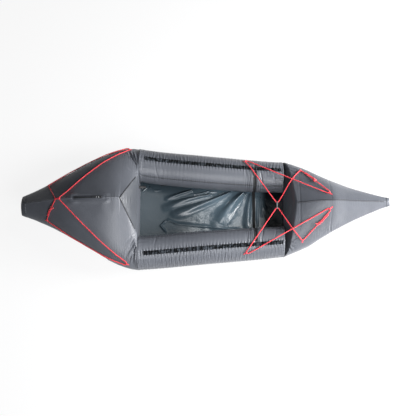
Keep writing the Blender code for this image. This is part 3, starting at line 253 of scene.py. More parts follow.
def slanted_height(x, top_x, top_z, foot_x, foot_z, bulge):
    """Height of a slanted panel's bulged face at x, carried on straight past its ends."""
    share = (x - top_x) / (foot_x - top_x)
    slope = (foot_z - top_z) / (foot_x - top_x)
    crown = bulge * 4 * np.clip(share, 0, 1) * (1 - np.clip(share, 0, 1)) * (1 + slope ** 2) ** 0.5
    return top_z + (foot_z - top_z) * share + crown


def tube_rise(x):
    """How far the side tubes and the floor between them bend up towards both ends of the cockpit."""
    return (stern_rise * (np.clip(-bend_x - x, 0, None) / (-bend_x - mouth_x)) ** 2
            + bow_rise * (np.clip(x - bend_x, 0, None) / (bow_start_x - bend_x)) ** 2)


def side_tube(x):
    """Distance of a side tube's axis from the middle, its height and its radius, at places along the boat."""
    share = (x - mouth_x) / (bow_start_x - mouth_x)
    parts = (1 - share) * (1 - 2 * share), 4 * share * (1 - share), share * (2 * share - 1)
    spread = sum(part * size for part, size in zip(parts, tube_spreads))
    radius = sum(part * size for part, size in zip(parts, tube_radii))
    return spread, radius * flat_side_share + tube_rise(x), radius * round_side_share


def cloud(points, size, seed):
    """Smooth random heights between -1 and 1 at points, with lumps of about a size."""
    place = points / size + seed * 7.31
    cell = np.floor(place).astype(np.int64)
    part = place - cell
    part = part * part * (3 - 2 * part)
    total = np.zeros(len(points))
    for corner in range(8):
        step = np.array([corner & 1, corner >> 1 & 1, corner >> 2 & 1])
        near = cell + step
        mixed = near[:, 0] * 374761393 + near[:, 1] * 668265263 + near[:, 2] * 2147483647 + seed * 974711
        mixed = (mixed ^ (mixed >> 13)) * 1274126177
        value = ((mixed ^ (mixed >> 16)) & 65535) / 32767.5 - 1
        total += value * np.prod(np.where(step == 1, part, 1 - part), axis=1)
    return total


def fold(plan, start, end, width, depth):
    """A crease in plan view, deep at its start and fading to its end, with a puffed edge on both sides."""
    start, run = np.array(start), np.array(end) - np.array(start)
    share = np.clip((plan - start) @ run / (run @ run), 0, 1)
    away = np.linalg.norm(plan - start - share[:, None] * run, axis=1) / (width * (0.55 + 0.9 * share))
    strength = depth * soft_step(-0.12, 0.10, share) * (1 - share) ** 0.6
    return strength * (0.55 * bump(away - 1.8, 1) - bump(away, 1))


def skin_normals(grid):
    """Outward directions of a grid of points that runs along the boat and, from its ridge, round it."""
    along = np.gradient(grid, axis=0)
    across = (np.roll(grid, -1, axis=1) - np.roll(grid, 1, axis=1)) / 2
    normal = np.cross(along, across)
    normal /= np.maximum(np.linalg.norm(normal, axis=2, keepdims=True), 1e-12)
    return normal if normal[len(grid) // 2, 0, 2] > 0 else -normal


def puffed_out(grid, height):
    """A grid of points moved out of its own surface by a height each."""
    return grid + skin_normals(grid) * height.reshape(grid.shape[:2])[..., None]


def drawn_in(ring, centre, rims):
    """Rings that close an end: a ring drawn in to a centre by shares, each copy set at its own x."""
    made = []
    for share, x in rims:
        made.append(np.array(centre) + (ring - centre) * share)
        made[-1][:, 0] = x
    return np.array(made)


def in_edit_mode(piece, *steps):
    """Selects a piece alone, and runs steps on all of its faces in edit mode."""
    bpy.ops.object.select_all(action="DESELECT")
    piece.select_set(True)
    bpy.context.view_layer.objects.active = piece
    bpy.ops.object.mode_set(mode="EDIT")
    bpy.ops.mesh.select_all(action="SELECT")
    for step in steps:
        step()
    bpy.ops.object.mode_set(mode="OBJECT")


def turn_outward():
    """Turns the selected faces outward."""
    bpy.ops.mesh.normals_make_consistent(inside=False)


def fabric_piece(name, grid, finish, closed=True, capped=True):
    """A piece of fabric from a grid of points, with a UV map in metres along and across it."""
    rows, count = grid.shape[:2]
    columns = count if closed else count - 1
    i, j = np.meshgrid(np.arange(rows - 1), np.arange(columns), indexing="ij")
    after = (j + 1) % count
    quads = np.stack([i * count + j, i * count + after, (i + 1) * count + after, (i + 1) * count + j], -1)
    faces = quads.reshape(-1, 4).tolist()
    if closed and capped:
        faces += [list(range(count)), list(range((rows - 1) * count, rows * count))]
    mesh = bpy.data.meshes.new(name)
    mesh.from_pydata(grid.reshape(-1, 3).tolist(), [], faces)
    along = np.concatenate([[0], np.cumsum(np.linalg.norm(np.diff(grid, axis=0), axis=2).mean(1))])
    step = np.linalg.norm(np.diff(np.concatenate([grid, grid[:, :1]], 1), axis=1), axis=2)
    across = np.concatenate([np.zeros((rows, 1)), np.cumsum(step, axis=1)], 1)
    layer = mesh.uv_layers.new(name="UVMap")
    corners = np.zeros((len(mesh.loops), 2), np.float32)
    flat = np.stack([np.stack([along[i], across[i, j]], -1), np.stack([along[i], across[i, j + 1]], -1),
                     np.stack([along[i + 1], across[i + 1, j + 1]], -1),
                     np.stack([along[i + 1], across[i + 1, j]], -1)], 2)
    corners[:quads.size] = flat.reshape(-1, 2)
    layer.data.foreach_set("uv", corners.ravel())
    mesh.materials.append(finish)
    made = bpy.data.objects.new(name, mesh)
    bpy.context.scene.collection.objects.link(made)
    in_edit_mode(made, turn_outward)
    bpy.ops.object.shade_smooth()
    return made


def on_hull(piece, slot, *nodes):
    """The piece rides on the hull and stands for its CAD nodes, which are hidden. The slot is not used."""
    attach(piece, "hull")
    if nodes:
        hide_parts(*nodes)
    return piece


def colour_between(tree, shader, share, dark, light):
    """Colours a shader between a dark and a light tint, by a share from another node."""
    tint = add_node(tree, "ShaderNodeMix", data_type="RGBA")
    tree.links.new(share, tint.inputs["Factor"])
    tint.inputs[6].default_value = (*dark, 1)
    tint.inputs[7].default_value = (*light, 1)
    tree.links.new(tint.outputs[2], shader.inputs["Base Color"])


def raise_surface(tree, shader, height, strength, depth):
    """Gives a shader the relief of a height from another node."""
    relief = add_node(tree, "ShaderNodeBump", Strength=strength, Distance=depth, Height=height)
    tree.links.new(relief.outputs["Normal"], shader.inputs["Normal"])


def bands(tree, place, direction, scale, distortion=0.0):
    """Fine bands across a direction, as threads and strands lie."""
    return add_node(tree, "ShaderNodeTexWave", wave_type="BANDS", bands_direction=direction, Vector=place,
                    Scale=scale, Distortion=distortion).outputs["Fac"]


def coated_fabric(name, dark, light, roughness, crinkle, specular=0.5):
    """Coated nylon: a fine weave under a satin coat, a little uneven in colour and gloss, and crinkled."""
    finish, tree, shader = new_finish(name, Specular_IOR_Level=specular)
    place = add_node(tree, "ShaderNodeTexCoord").outputs
    patchy = add_node(tree, "ShaderNodeTexNoise", Vector=place["Object"], Scale=4.0, Detail=5.0,
                      Roughness=0.6)
    colour_between(tree, shader, patchy.outputs["Fac"], dark, light)
    scuffs = add_node(tree, "ShaderNodeTexNoise", Vector=place["Object"], Scale=38.0, Detail=6.0,
                      Roughness=0.65)
    gloss = add_node(tree, "ShaderNodeMapRange", Value=scuffs.outputs["Fac"], To_Min=roughness - 0.06,
                     To_Max=roughness + 0.08)
    tree.links.new(gloss.outputs["Result"], shader.inputs["Roughness"])
    weave = math_node(tree, "MULTIPLY", bands(tree, place["UV"], "X", 260.0),
                      bands(tree, place["UV"], "Y", 260.0))
    threads = add_node(tree, "ShaderNodeBump", Strength=0.35, Distance=0.00025, Height=weave)
    creased = add_node(tree, "ShaderNodeTexNoise", Vector=place["Object"], Scale=55.0, Detail=4.0,
                       Roughness=0.55, Distortion=0.6)
    crinkles = add_node(tree, "ShaderNodeBump", Strength=crinkle, Distance=0.004,
                        Height=creased.outputs["Fac"], Normal=threads.outputs["Normal"])
    tree.links.new(crinkles.outputs["Normal"], shader.inputs["Normal"])
    return finish


hull_finish = coated_fabric("hull_coated_fabric", (0.052, 0.056, 0.066), (0.070, 0.075, 0.088),
                            roughness=0.37, crinkle=0.16, specular=0.36)
# A lighter copy of the hull's fabric, for the tubes, the stern and some of their tapes: painted light
painted_light_fabric = coated_fabric("painted_light_coated_fabric", (0.070, 0.075, 0.087), (0.094, 0.100, 0.116),
                            roughness=0.37, crinkle=0.16, specular=0.36)
# A darker copy of the hull's fabric, for the slanted panels of stern and bow: painted shade
painted_shade_fabric = coated_fabric("painted_shade_coated_fabric", (0.045, 0.049, 0.057), (0.058, 0.063, 0.072),
                             roughness=0.37, crinkle=0.14, specular=0.36)
wall_shares = np.array((0.97, 0.8, 0.5, 0.2, 0.02))


def end_wall(ring, middle_z):
    """Rings that close a chamber's end towards the cockpit, pressed step by step to a line at a height."""
    wall = np.repeat(ring[None], len(wall_shares), axis=0)
    wall[..., 2] = middle_z + (wall[..., 2] - middle_z) * wall_shares[:, None]
    return wall


def dress_chamber(name, grid, on_panel, finish, *nodes):
    """A chamber's fabric from its grid, with its slanted panel's faces in a darker copy of the fabric,
    painted shade.
    """
    fabric = fabric_piece(name, grid, finish)
    fabric.data.materials.append(painted_shade_fabric)
    flags = on_panel.reshape(-1)
    for face in fabric.data.polygons:
        if all(flags[v] for v in face.vertices) and len(face.vertices) == 4:
            face.material_index = 1
    return on_hull(fabric, "hull_fabric", *nodes)


# Stern: one tall air chamber that widens from its flat welded tip to the full width of the boat. A ridge
# seam runs along its top, the roots of the side tubes swell out of it, and it slants down to the cockpit.
apex_x, apex_z, lip_z, panel_bulge, y_half_width = -0.637, 0.4778, 0.31, 0.012, 0.2375
root_length, root_radius, root_inset, root_rise, root_blend = 0.20, 0.095, 0.030, 0.035, 0.022
stern_wall_z, stern_count = 0.16, 130
stern_places = np.concatenate([np.linspace(0, 0.80, 112)[:-1], np.linspace(0.80, 1, 118)])
stern_scale = np.array([stern_half_width, stern_height, stern_height, stern_height, 1.0])
spread, axis_z, radius = side_tube(np.array(mouth_x))
rings = []
for place, shares, soft_shares in zip(stern_places, eased(stern_rows, stern_places, 0.045),
                                      eased(stern_rows, stern_places, 0.13)):
    half = section(*(shares * stern_scale), stern_count)
    rounder = (1, 1, 1, 1, 1 + 0.26 * sin(pi * min(1, place * 1.15)))
    softened = section(*(soft_shares * stern_scale * rounder), stern_count)
    half += (softened - half) * soft_step(0.03, 0.16, half[:, :1]) * soft_step(0.12, 0.22, half[:, 1:])
    x = stern_tip_x + (mouth_x - stern_tip_x) * place
    root = (mouth_x - x) / root_length
    if root < 1.15:
        size = radius + (root_radius - radius) * root
        middle = np.array([spread - root_inset * root, axis_z + root_rise * root])
        away = half - middle
        distance = np.linalg.norm(away, axis=1)
        wanted = -soft_min(-distance, -size, root_blend * min(1, root * 4 + 0.1))
        half = middle + away * (wanted / np.maximum(distance, 1e-6))[:, None]
    rings.append(ring_across(x, half))
stern = np.array(rings)
on_panel = np.zeros(stern.shape[:2], bool)
y_seam = []
for ring, inside in zip(stern, on_panel):
    x = ring[0, 0]
    share = (x - apex_x) / (mouth_x - apex_x)
    if share > 0:
        # Both arms of the Y seam run straight. Roof and panel puff up on either side of them
        seam_y = y_half_width * share
        widest = int(np.argmax(ring[:stern_count, 1]))
        roof_there = np.interp(seam_y, ring[:widest, 1], ring[:widest, 2])
        panel_there = slanted_height(x, apex_x, apex_z, mouth_x, lip_z, panel_bulge)
        seam_z = (roof_there + panel_there) / 2
        y_seam.append((x, seam_y, seam_z))
        upper = ring[:, 2] > ring[widest, 2]
        away = np.abs(ring[:, 1]) - seam_y
        roof = ring[:, 2] + (seam_z - roof_there) * bump(away, 0.09)
        panel = panel_there + (seam_z - panel_there) * bump(away, 0.06)
        mixed = panel + (roof - panel) * soft_step(-0.005, 0.005, away)
        ring[:, 2] = np.where(upper, mixed, ring[:, 2])
        inside[:] = upper & (away < 0)

flat = stern.reshape(-1, 3)
plan, (px, py, pz) = flat[:, :2], flat.T
upper = soft_step(0.14, 0.24, pz)
# Soft unevenness of the inflated fabric, and gathers along the ridge seam and the widest line
height = 0.0016 * cloud(flat, 0.16, 5) + 0.0007 * cloud(flat, 0.045, 6) * upper
height += 0.0010 * fading(py, 0.016) * upper * ripple(px, 0.021, 3 * cloud(flat, 0.06, 3))
height += 0.0006 * fading(pz - 0.30, 0.03) * ripple(px, 0.017, 4 * cloud(flat, 0.05, 8))
# Creases that fan out from the corners where panel, stern and side tubes meet
stern_creases = (
    ((-0.534, 0.318), (-0.602, 0.444), 0.0062, 0.012), ((-0.537, 0.35), (-0.568, 0.434), 0.005, 0.01),
    ((-0.517, 0.262), (-0.533, 0.452), 0.0055, 0.0135), ((-0.524, 0.231), (-0.594, 0.281), 0.0055, 0.006),
    ((-0.556, 0.37), (-0.628, 0.425), 0.007, 0.0045), ((-0.524, 0.33), (-0.548, 0.446), 0.0045, 0.007),
    ((-0.517, -0.282), (-0.547, -0.452), 0.0055, 0.0135), ((-0.518, -0.284), (-0.606, -0.42), 0.0062, 0.012),
    ((-0.536, -0.284), (-0.6, -0.39), 0.0055, 0.0085), ((-0.524, -0.236), (-0.566, -0.268), 0.005, 0.005),
    ((-0.52, -0.33), (-0.574, -0.44), 0.0045, 0.008), ((-0.552, -0.268), (-0.622, -0.345), 0.007, 0.004),
)
for start, end, width, depth in stern_creases:
    height += fold(plan, start, end, width, depth) * upper
# Puffed fabric beside the zip: place along the boat, distance from the middle, both reaches, and height
for puff_x, puff_y, reach_x, reach_y, puff in ((-0.985, 0.026, 0.030, 0.014, 0.0075),
                                               (-0.870, 0.026, 0.110, 0.012, 0.0035),
                                               (-0.735, 0.024, 0.022, 0.012, 0.0050)):
    for side in (1, -1):
        height += puff * bump(px - puff_x, reach_x) * bump(py - side * puff_y, reach_y)
# Under the zip and at the wall to the cockpit the fabric lies plain
height *= 1 - bump(np.clip(np.abs(py) - 0.015, 0, None), 0.008) * window(px, -1.01, -0.99, -0.745, -0.725)
stern = puffed_out(stern, height * (1 - soft_step(-0.53, -0.517, px)))
stern_fabric = dress_chamber("stern_fabric", np.concatenate([stern, end_wall(stern[-1], stern_wall_z)]),
                             np.pad(on_panel, ((0, len(wall_shares)), (0, 0))), painted_light_fabric,
                             "stern_hull", "back_panel")

# Bow: a longer, lower chamber that draws in to a fine tip, with its own ridge seam and a slanted rear face
# towards the cockpit.
rear_top_x, rear_top_z, rear_foot_z, rear_bulge = 0.703, 0.340, 0.150, 0.006
bow_wall_z, bow_count, notch_depth = 0.09, 120, 0.013
bow_places = np.linspace(0, 1, 168)
bow_scale = np.array([bow_half_width, bow_height, bow_height, bow_height, 1.0])
bow = np.array([ring_across(bow_start_x + (bow_tip_x - bow_start_x) * place,
                            section(*(shares * bow_scale), bow_count))
                for place, shares in zip(bow_places, eased(bow_rows, bow_places, 0.05))])
rear_z = slanted_height(bow[..., 0], rear_top_x, rear_top_z, bow_start_x, rear_foot_z, rear_bulge)
on_rear = bow[..., 2] > rear_z
bow[..., 2] = soft_min(bow[..., 2], rear_z, 0.012)
flat = bow.reshape(-1, 3)
plan, (px, py, pz) = flat[:, :2], flat.T
upper = soft_step(0.12, 0.20, pz)
height = 0.0015 * cloud(flat, 0.15, 11) + 0.0006 * cloud(flat, 0.04, 12) * upper
height += 0.0009 * fading(py, 0.014) * upper * ripple(px, 0.019, 3 * cloud(flat, 0.06, 13))
height += 0.0006 * fading(pz - 0.27, 0.03) * ripple(px, 0.018, 4 * cloud(flat, 0.05, 14))
# Creases that fan out from both corners of the rear face, and one on each side of the deck
for side in (1, -1):
    for start, end, width, depth in (
            ((0.640, 0.305), (0.740, 0.235), 0.006, 0.0050), ((0.640, 0.305), (0.720, 0.300), 0.005, 0.0060),
            ((0.640, 0.305), (0.700, 0.335), 0.005, 0.0055), ((0.640, 0.305), (0.675, 0.360), 0.005, 0.0050),
            ((0.985, 0.235), (0.955, 0.165), 0.005, 0.0030)):
        height += fold(plan, (start[0], side * start[1]), (end[0], side * end[1]), width, depth) * upper
# Two cross seams on the bow's deck, of which the rear one runs only over its middle
height -= 0.0016 * bump(px - 0.967, 0.004) * upper
height -= 0.0022 * bump(px - 0.735, 0.004) * upper * (np.abs(py) < 0.2)
bow = puffed_out(bow, height * soft_step(0.621, 0.64, px))
# The welded tip ends in two blunt prongs with a shallow notch between them
bow[..., 0] -= notch_depth * np.clip(1 - np.abs(bow[..., 1]) / 0.028, 0, 1) * soft_step(
    1.388, 1.4145, bow[..., 0])
bow_fabric = dress_chamber("bow_fabric", np.concatenate([end_wall(bow[0], bow_wall_z)[::-1], bow]),
                           np.pad(on_rear, ((len(wall_shares), 0), (0, 0))), hull_finish,
                           "bow_hull", "bow_rear_panel")

# Side tubes: long round chambers. Their outer sides are gathered in fine pleats under the hook-and-loop
# strips, the cross strap presses a groove into them, and both ends are gathered into their seams.
strip_angle, strip_half, seam_angle = radians(-13), radians(7.8), radians(52)
strap_x, valve_x, valve_angle, valve_reach = 0.395, -0.200, radians(120), 0.045
# Dents: place along the tube and its reach, angle and its reach in degrees, and depth
tube_dents = ((0.452, 0.006, 30, 26, 0.004), (0.325, 0.006, 6, 20, 0.0022),
              (0.548, 0.005, 20, 22, 0.0025), (-0.38, 0.007, 25, 25, 0.002))


def tube_folds(side, x, angle):
    """Height of the folds of a side tube's fabric, at places along it and angles round it."""
    turn = np.degrees(angle)
    flat = np.stack([x, angle * mean_radius, np.full_like(x, side * 3.0)], -1)
    lumps = cloud(flat, 0.11, 21)
    fine = cloud(flat, 0.05, 22)
    # Pleats of the outer side, in two sizes
    outer = window(turn, -12, -34, -105, -150)
    height = 0.0010 * cloud(flat, 0.20, 24) + 0.0004 * lumps * outer
    pleat = ripple(x, 0.027, 2.2 * fine) * 0.6 + ripple(x, 0.0165, 3.1 * lumps + 1.0) * 0.45
    quick = ripple(x, 0.0118, 3.3 * fine) * 0.5 + ripple(x, 0.0083, 2.0 * lumps + 2.0) * 0.3
    height += outer * (0.0017 * pleat * (0.55 + 0.45 * lumps) + 0.0015 * quick * (0.6 + 0.4 * fine))
    # Puckers beside the strip and the seam, which lies in a shallow groove, and the plain top between them
    by_strip = fading(np.clip(np.abs(angle - strip_angle) - strip_half, 0, None) * mean_radius, 0.014)
    height += 0.0018 * by_strip * ripple(x, 0.0235, 2.5 * fine)
    off_seam = (angle - seam_angle) * mean_radius
    height += 0.0006 * fading(off_seam, 0.016) * ripple(x, 0.017, 3 * fine) - 0.0008 * bump(off_seam, 0.008)
    height += 0.0002 * window(turn, -5, 8, 60, 85) * ripple(x, 0.033, 2 * lumps)
    # The strap's groove, its swollen edges and the wrinkles beyond them
    strapped = window(turn, -42, -20, 118, 130)
    away = np.abs(x - strap_x)
    height += strapped * (0.0022 * bump(away - 0.026, 0.014) - 0.0065 * bump(away, 0.0125))
    height += 0.0011 * strapped * bump(away - 0.045, 0.03) * ripple(away, 0.016, 2 * fine)
    for place, reach, centre, reach_round, depth in tube_dents:
        off = angle - radians(centre)
        height -= depth * bump(x - place - 0.02 * off, reach) * bump(off, radians(reach_round))
    # Gathers at both ends
    bow_end, stern_end = bow_start_x - x, x - mouth_x
    rays = np.sin(angle * 19 + 2.0 * cloud(flat, 0.08, 23)) * 0.6 + np.sin(angle * 31 + 1.3) * 0.4
    height += 0.0030 * fading(bow_end, 0.035) * rays
    height += 0.0022 * fading(stern_end, 0.045) * rays * soft_step(0.0, 0.025, stern_end)
    height *= 1 - 0.85 * soft_step(150, 175, np.abs(turn))
    if side < 0:
        # Under the main valve's base the fabric lies plain
        spot = (x - valve_x) ** 2 + ((angle - valve_angle) * mean_radius) ** 2
        under_valve = bump(spot, valve_reach ** 2)
        height = height * (1 - under_valve) - 0.0012 * under_valve
    return height


def tube_skin(side, x, angle, lift=0.0):
    """Points on a side tube's fabric. The angle runs from straight up towards the middle of the boat."""
    x, angle, lift = np.broadcast_arrays(np.asarray(x, float), np.asarray(angle, float), lift)
    shape = x.shape
    x, angle = x.ravel(), (angle.ravel() + pi) % (2 * pi) - pi
    spread, axis_z, radius = side_tube(x)
    reach = radius + tube_folds(side, x, angle) + lift.ravel()
    points = np.stack([x, side * (spread - reach * np.sin(angle)), axis_z + reach * np.cos(angle)], -1)
    points[:, 2] = np.clip(points[:, 2], 0.0, None)
    return points.reshape(*shape, 3)


for side, side_name in both_sides:
    x = np.linspace(mouth_x + 0.0004, bow_start_x - 0.005, 520)
    body = tube_skin(side, x[:, None], np.linspace(0, 2 * pi, 157)[None, :-1])
    spread, axis_z, radius = side_tube(np.array(bow_start_x))
    rims = [(1 - 0.04 * (1 - cos(bend)), bow_start_x - 0.005 + 0.0045 * sin(bend))
            for bend in np.linspace(0, pi / 2, 8)[1:]]
    rims += [(0.96 * share, bow_start_x - 0.001) for share in (0.8, 0.55, 0.3, 0.08)]
    cap = drawn_in(body[-1], (bow_start_x, side * spread, axis_z), rims)
    tube = fabric_piece(side_name + "_tube_fabric", np.concatenate([body, cap]), painted_light_fabric)
    on_hull(tube, "hull_fabric", side_name + "_side_tube")

# Floor: one loose sheet of glossy coated fabric welded low on the inner sides of the tubes. It is pulled
# towards the cross strap on the port side, so its folds fan out from there.
floor_finish = coated_fabric("floor_coated_fabric", (0.018, 0.028, 0.036), (0.030, 0.042, 0.051),
                             roughness=0.24, crinkle=0.06)
tree = floor_finish.node_tree
shader = tree.nodes["Principled BSDF"]
place = add_node(tree, "ShaderNodeTexCoord")
split = add_node(tree, "ShaderNodeSeparateXYZ", Vector=place.outputs["Object"])
# Painted light in the floor's colour: its folded part before the strap is painted paler, a painted highlight,
# and deep in the bow section's shade it is painted almost black, painted shade that also takes its gloss.
# Near
# the stern it is dull: two places along the boat, and the shares before and after them
floor_shares = ((-0.22, 0.26, 1.0, 3.6), (0.41, 0.50, 1.0, 0.05), (-0.30, -0.02, 0.22, 0.95))
wear_and_painted_highlight, dark, dull = (
    add_node(tree, "ShaderNodeMapRange", interpolation_type="SMOOTHSTEP", Value=split.outputs["X"],
             From_Min=start, From_Max=end, To_Min=before, To_Max=after).outputs["Result"]
    for start, end, before, after in floor_shares)
# The floor's base colour times its painted highlight and painted shade
floor_painted_light = add_node(tree, "ShaderNodeMix", data_type="RGBA", blend_type="MULTIPLY")
floor_painted_light.inputs["Factor"].default_value = 1.0
tree.links.new(shader.inputs["Base Color"].links[0].from_socket, floor_painted_light.inputs[6])
tree.links.new(math_node(tree, "MULTIPLY", wear_and_painted_highlight, dark), floor_painted_light.inputs[7])
tree.links.new(floor_painted_light.outputs[2], shader.inputs["Base Color"])
tree.links.new(math_node(tree, "MULTIPLY", dark, dull), shader.inputs["Specular IOR Level"])
weld_angle, weld_inset, floor_gap, floor_thickness, fold_lift = radians(150), 0.003, 0.0025, 0.001, 1.3
# Shares of the way from the middle to the weld, and of the climb from the floor's middle up to it
floor_climb = np.array(((0.0, 0.0), (0.5, 0.0), (0.86, 0.08), (0.95, 0.45), (1.0, 1.0)))
# Folds: plan points, half widths at both ends, and height (a valley's is below zero)
floor_folds = (
    (((0.200, 0.172), (0.077, 0.113), (-0.001, 0.081), (-0.069, 0.057), (-0.136, 0.026), (-0.240, 0.004)),
     0.010, 0.034, 0.024),
    (((0.312, 0.165), (0.232, 0.085), (0.171, 0.008), (0.110, -0.075)), 0.014, 0.060, 0.034),
    (((0.374, 0.150), (0.352, 0.053), (0.344, -0.034), (0.338, -0.120)), 0.012, 0.027, 0.026),
    (((0.04, 0.155), (-0.069, 0.134), (-0.137, 0.12), (-0.227, 0.085), (-0.316, 0.048)), 0.007, 0.026, 0.015),
    (((-0.110, 0.190), (-0.227, 0.154), (-0.305, 0.124)), 0.008, 0.016, 0.014),
    (((0.030, 0.187), (-0.035, 0.164), (-0.083, 0.156)), 0.005, 0.007, 0.009),
    (((0.090, 0.180), (0.040, 0.177)), 0.004, 0.005, 0.006),
    (((0.424, 0.138), (0.428, 0.018), (0.424, -0.110)), 0.005, 0.008, 0.008),
    (((0.446, 0.130), (0.458, -0.020)), 0.005, 0.008, 0.007),
    (((0.470, 0.120), (0.500, 0.010)), 0.005, 0.010, 0.005),
    (((0.340, 0.172), (0.300, 0.110)), 0.004, 0.007, 0.008),
    (((0.150, 0.178), (0.110, 0.155)), 0.004, 0.006, 0.006),
    (((0.200, 0.100), (0.165, 0.060)), 0.005, 0.008, -0.006),
    (((0.189, 0.179), (0.067, 0.136), (-0.069, 0.097), (-0.137, 0.078), (-0.24, 0.042)),
     0.008, 0.014, -0.006),
    (((0.02, 0.162), (-0.108, 0.147), (-0.187, 0.13), (-0.245, 0.113), (-0.292, 0.108)),
     0.0035, 0.006, -0.009),
    (((-0.315, -0.063), (-0.343, -0.089)), 0.006, 0.006, 0.006),
    (((-0.350, -0.100), (-0.306, -0.147)), 0.006, 0.006, 0.006),
    (((-0.522, 0.186), (-0.484, 0.224)), 0.006, 0.007, 0.010),
    (((-0.500, 0.180), (-0.464, 0.216)), 0.005, 0.006, 0.007),
    (((-0.440, 0.212), (-0.400, 0.186), (-0.350, 0.200)), 0.006, 0.007, 0.006),
)


def stroke(plan, line, start_width, end_width):
    """How near plan points are to a smooth line, from 1 on it to 0, with widths that grow along it."""
    fine = evenly(np.array(line), 33)
    for _ in range(12):
        fine[1:-1] = (fine[:-2] + fine[1:-1] + fine[2:]) / 3
    best, place = np.full(len(plan), 9.0), np.zeros(len(plan))
    for k in range(32):
        way = fine[k + 1] - fine[k]
        share = np.clip((plan - fine[k]) @ way / (way @ way), 0, 1)
        away = np.linalg.norm(plan - fine[k] - share[:, None] * way, axis=1)
        closer = away < best
        best, place = np.where(closer, away, best), np.where(closer, (k + share) / 32, place)
    return bump(best, start_width + (end_width - start_width) * place) * (1 - place ** 3 * 0.75)


def floor_surface(x, across, lift=0.0):
    """Points of the floor's top. Across runs from -1 at the starboard weld to 1 at the port one."""
    x, across = np.broadcast_arrays(np.asarray(x, float), np.asarray(across, float))
    shape = x.shape
    x, across = x.ravel(), across.ravel()
    spread, axis_z, radius = side_tube(x)
    reach = radius - weld_inset
    y = across * (spread - reach * sin(weld_angle))
    low = tube_rise(x) + floor_gap
    climb = np.interp(np.abs(across), *floor_climb.T)
    z = low + (axis_z + reach * cos(weld_angle) - low) * climb
    free = (1 - np.abs(across) ** 10) * soft_step(mouth_x, mouth_x + 0.02, x) * soft_step(
        bow_start_x, bow_start_x - 0.04, x)
    points = np.stack([x, y, np.zeros_like(x)], -1)
    # The folds run from the gathers at the port weld and the strap's port end, and bend towards the stern
    plan = points[:, :2] + 0.004 * cloud(points, 0.05, 31)[:, None]
    folds = 0.0030 * (0.5 + 0.5 * cloud(points, 0.16, 34))
    for line, start_width, end_width, fold_height in floor_folds:
        folds += fold_lift * fold_height * stroke(plan, line, start_width, end_width)
    busy = soft_step(-0.30, 0.0, x)
    folds += busy * (0.0012 * cloud(points, 0.045, 35) + 0.0006 * cloud(points, 0.022, 36))
    # Fine gathers on the bow side of the strap, round its port end
    ahead, inward = x - strap_x - 0.012, 0.150 - y
    away = np.hypot(ahead, inward)
    folds += soft_step(-0.005, 0.015, ahead) * window(away, 0.03, 0.08, 0.16, 0.30) * (
        0.0016 * np.abs(np.sin(np.arctan2(inward, ahead) * 13)))
    # The seam fold near the starboard tube
    off_line = y + 0.060 + 0.024 * soft_step(-0.29, -0.20, x) + 0.045 * (x + 0.29) / 0.49
    folds += 0.006 * window(x, -0.315, -0.280, 0.24, 0.34) * bump(
        np.clip(off_line, 0, None), 0.020) * soft_step(-0.005, 0.0, off_line)
    z += free * np.clip(folds, 0, None) * (1 - bump(x - strap_x, 0.022)) + lift
    return np.stack([x, y, z], -1).reshape(*shape, 3)


floor_x = np.linspace(mouth_x - 0.003, bow_start_x + 0.003, 330)
floor_across = np.sin(np.linspace(-pi / 2, pi / 2, 141)) * 0.4 + np.linspace(-1, 1, 141) * 0.6
floor_grid = floor_surface(floor_x[:, None], floor_across[None, :])
floor = fabric_piece("floor_fabric_sheet", floor_grid, floor_finish, closed=False)
if floor.data.polygons[1000].normal.z < 0:
    in_edit_mode(floor, bpy.ops.mesh.flip_normals)
thick = floor.modifiers.new("thickness", "SOLIDIFY")
thick.thickness = floor_thickness
thick.offset = -1
bpy.ops.object.modifier_apply(modifier="thickness")
on_hull(floor, "floor_fabric", "floor_sheet")

# Hook-and-loop strips on the tubes' tops, for a spray deck: dense loop pile on a woven backing, stitched
# along both edges. The stitching puckers strip and tube together.
strip_span, across_strip = (-0.465, 0.605), np.linspace(-1, 1, 13)[None, :]


def tube_band(name, side, x, angle, low, high, finish):
    """A band laid on a side tube over a range of places and angles, its underside sunk into the fabric."""
    top = tube_skin(side, x, angle, high)
    under = tube_skin(side, x, angle, low)[:, ::-1]
    return fabric_piece(name, np.concatenate([top, under], 1), finish)


pile_finish, tree, shader = new_finish("loop_pile", Roughness=0.92, Specular_IOR_Level=0.15,
                                       Sheen_Weight=0.06, Sheen_Roughness=0.4)
place = add_node(tree, "ShaderNodeTexCoord").outputs["Object"]
tufts = add_node(tree, "ShaderNodeTexVoronoi", Vector=place, Scale=620.0)
wear_and_painted_highlight = add_node(tree, "ShaderNodeTexNoise", Vector=place, Scale=34.0, Detail=3.0)
patches = add_node(tree, "ShaderNodeMapRange", Value=wear_and_painted_highlight.outputs["Fac"], From_Min=0.44, From_Max=0.62)
colour_between(tree, shader, patches.outputs["Result"], (0.002, 0.003, 0.004), (0.034, 0.040, 0.048))
raise_surface(tree, shader, tufts.outputs["Distance"], strength=0.8, depth=0.0012)
for side, side_name in both_sides:
    x = np.linspace(*strip_span, 620)
    seed = np.stack([x, np.full(len(x), 0.3), np.full(len(x), side * 2.0)], -1)
    beat = ripple(x, 0.0285, 2.6 * cloud(seed, 0.07, 41))
    quick = ripple(x, 0.0138, 2.0 * cloud(seed, 0.05, 42))
    pucker = (0.0040 * np.abs(beat) ** 0.7 + 0.0014 * quick)[:, None]
    narrow = 1 - 0.26 * (1 - np.abs(beat))[:, None]
    crown = (1 - np.abs(across_strip) ** 6) * 0.0011 + pucker * (1 - across_strip ** 2) ** 0.5
    strip = tube_band(side_name + "_loop_strip", side, x[:, None],
                      strip_angle + strip_half * across_strip * narrow, -0.0012, 0.0007 + crown, pile_finish)
    on_hull(strip, "hook_and_loop", side_name + "_hook_loop_strip")

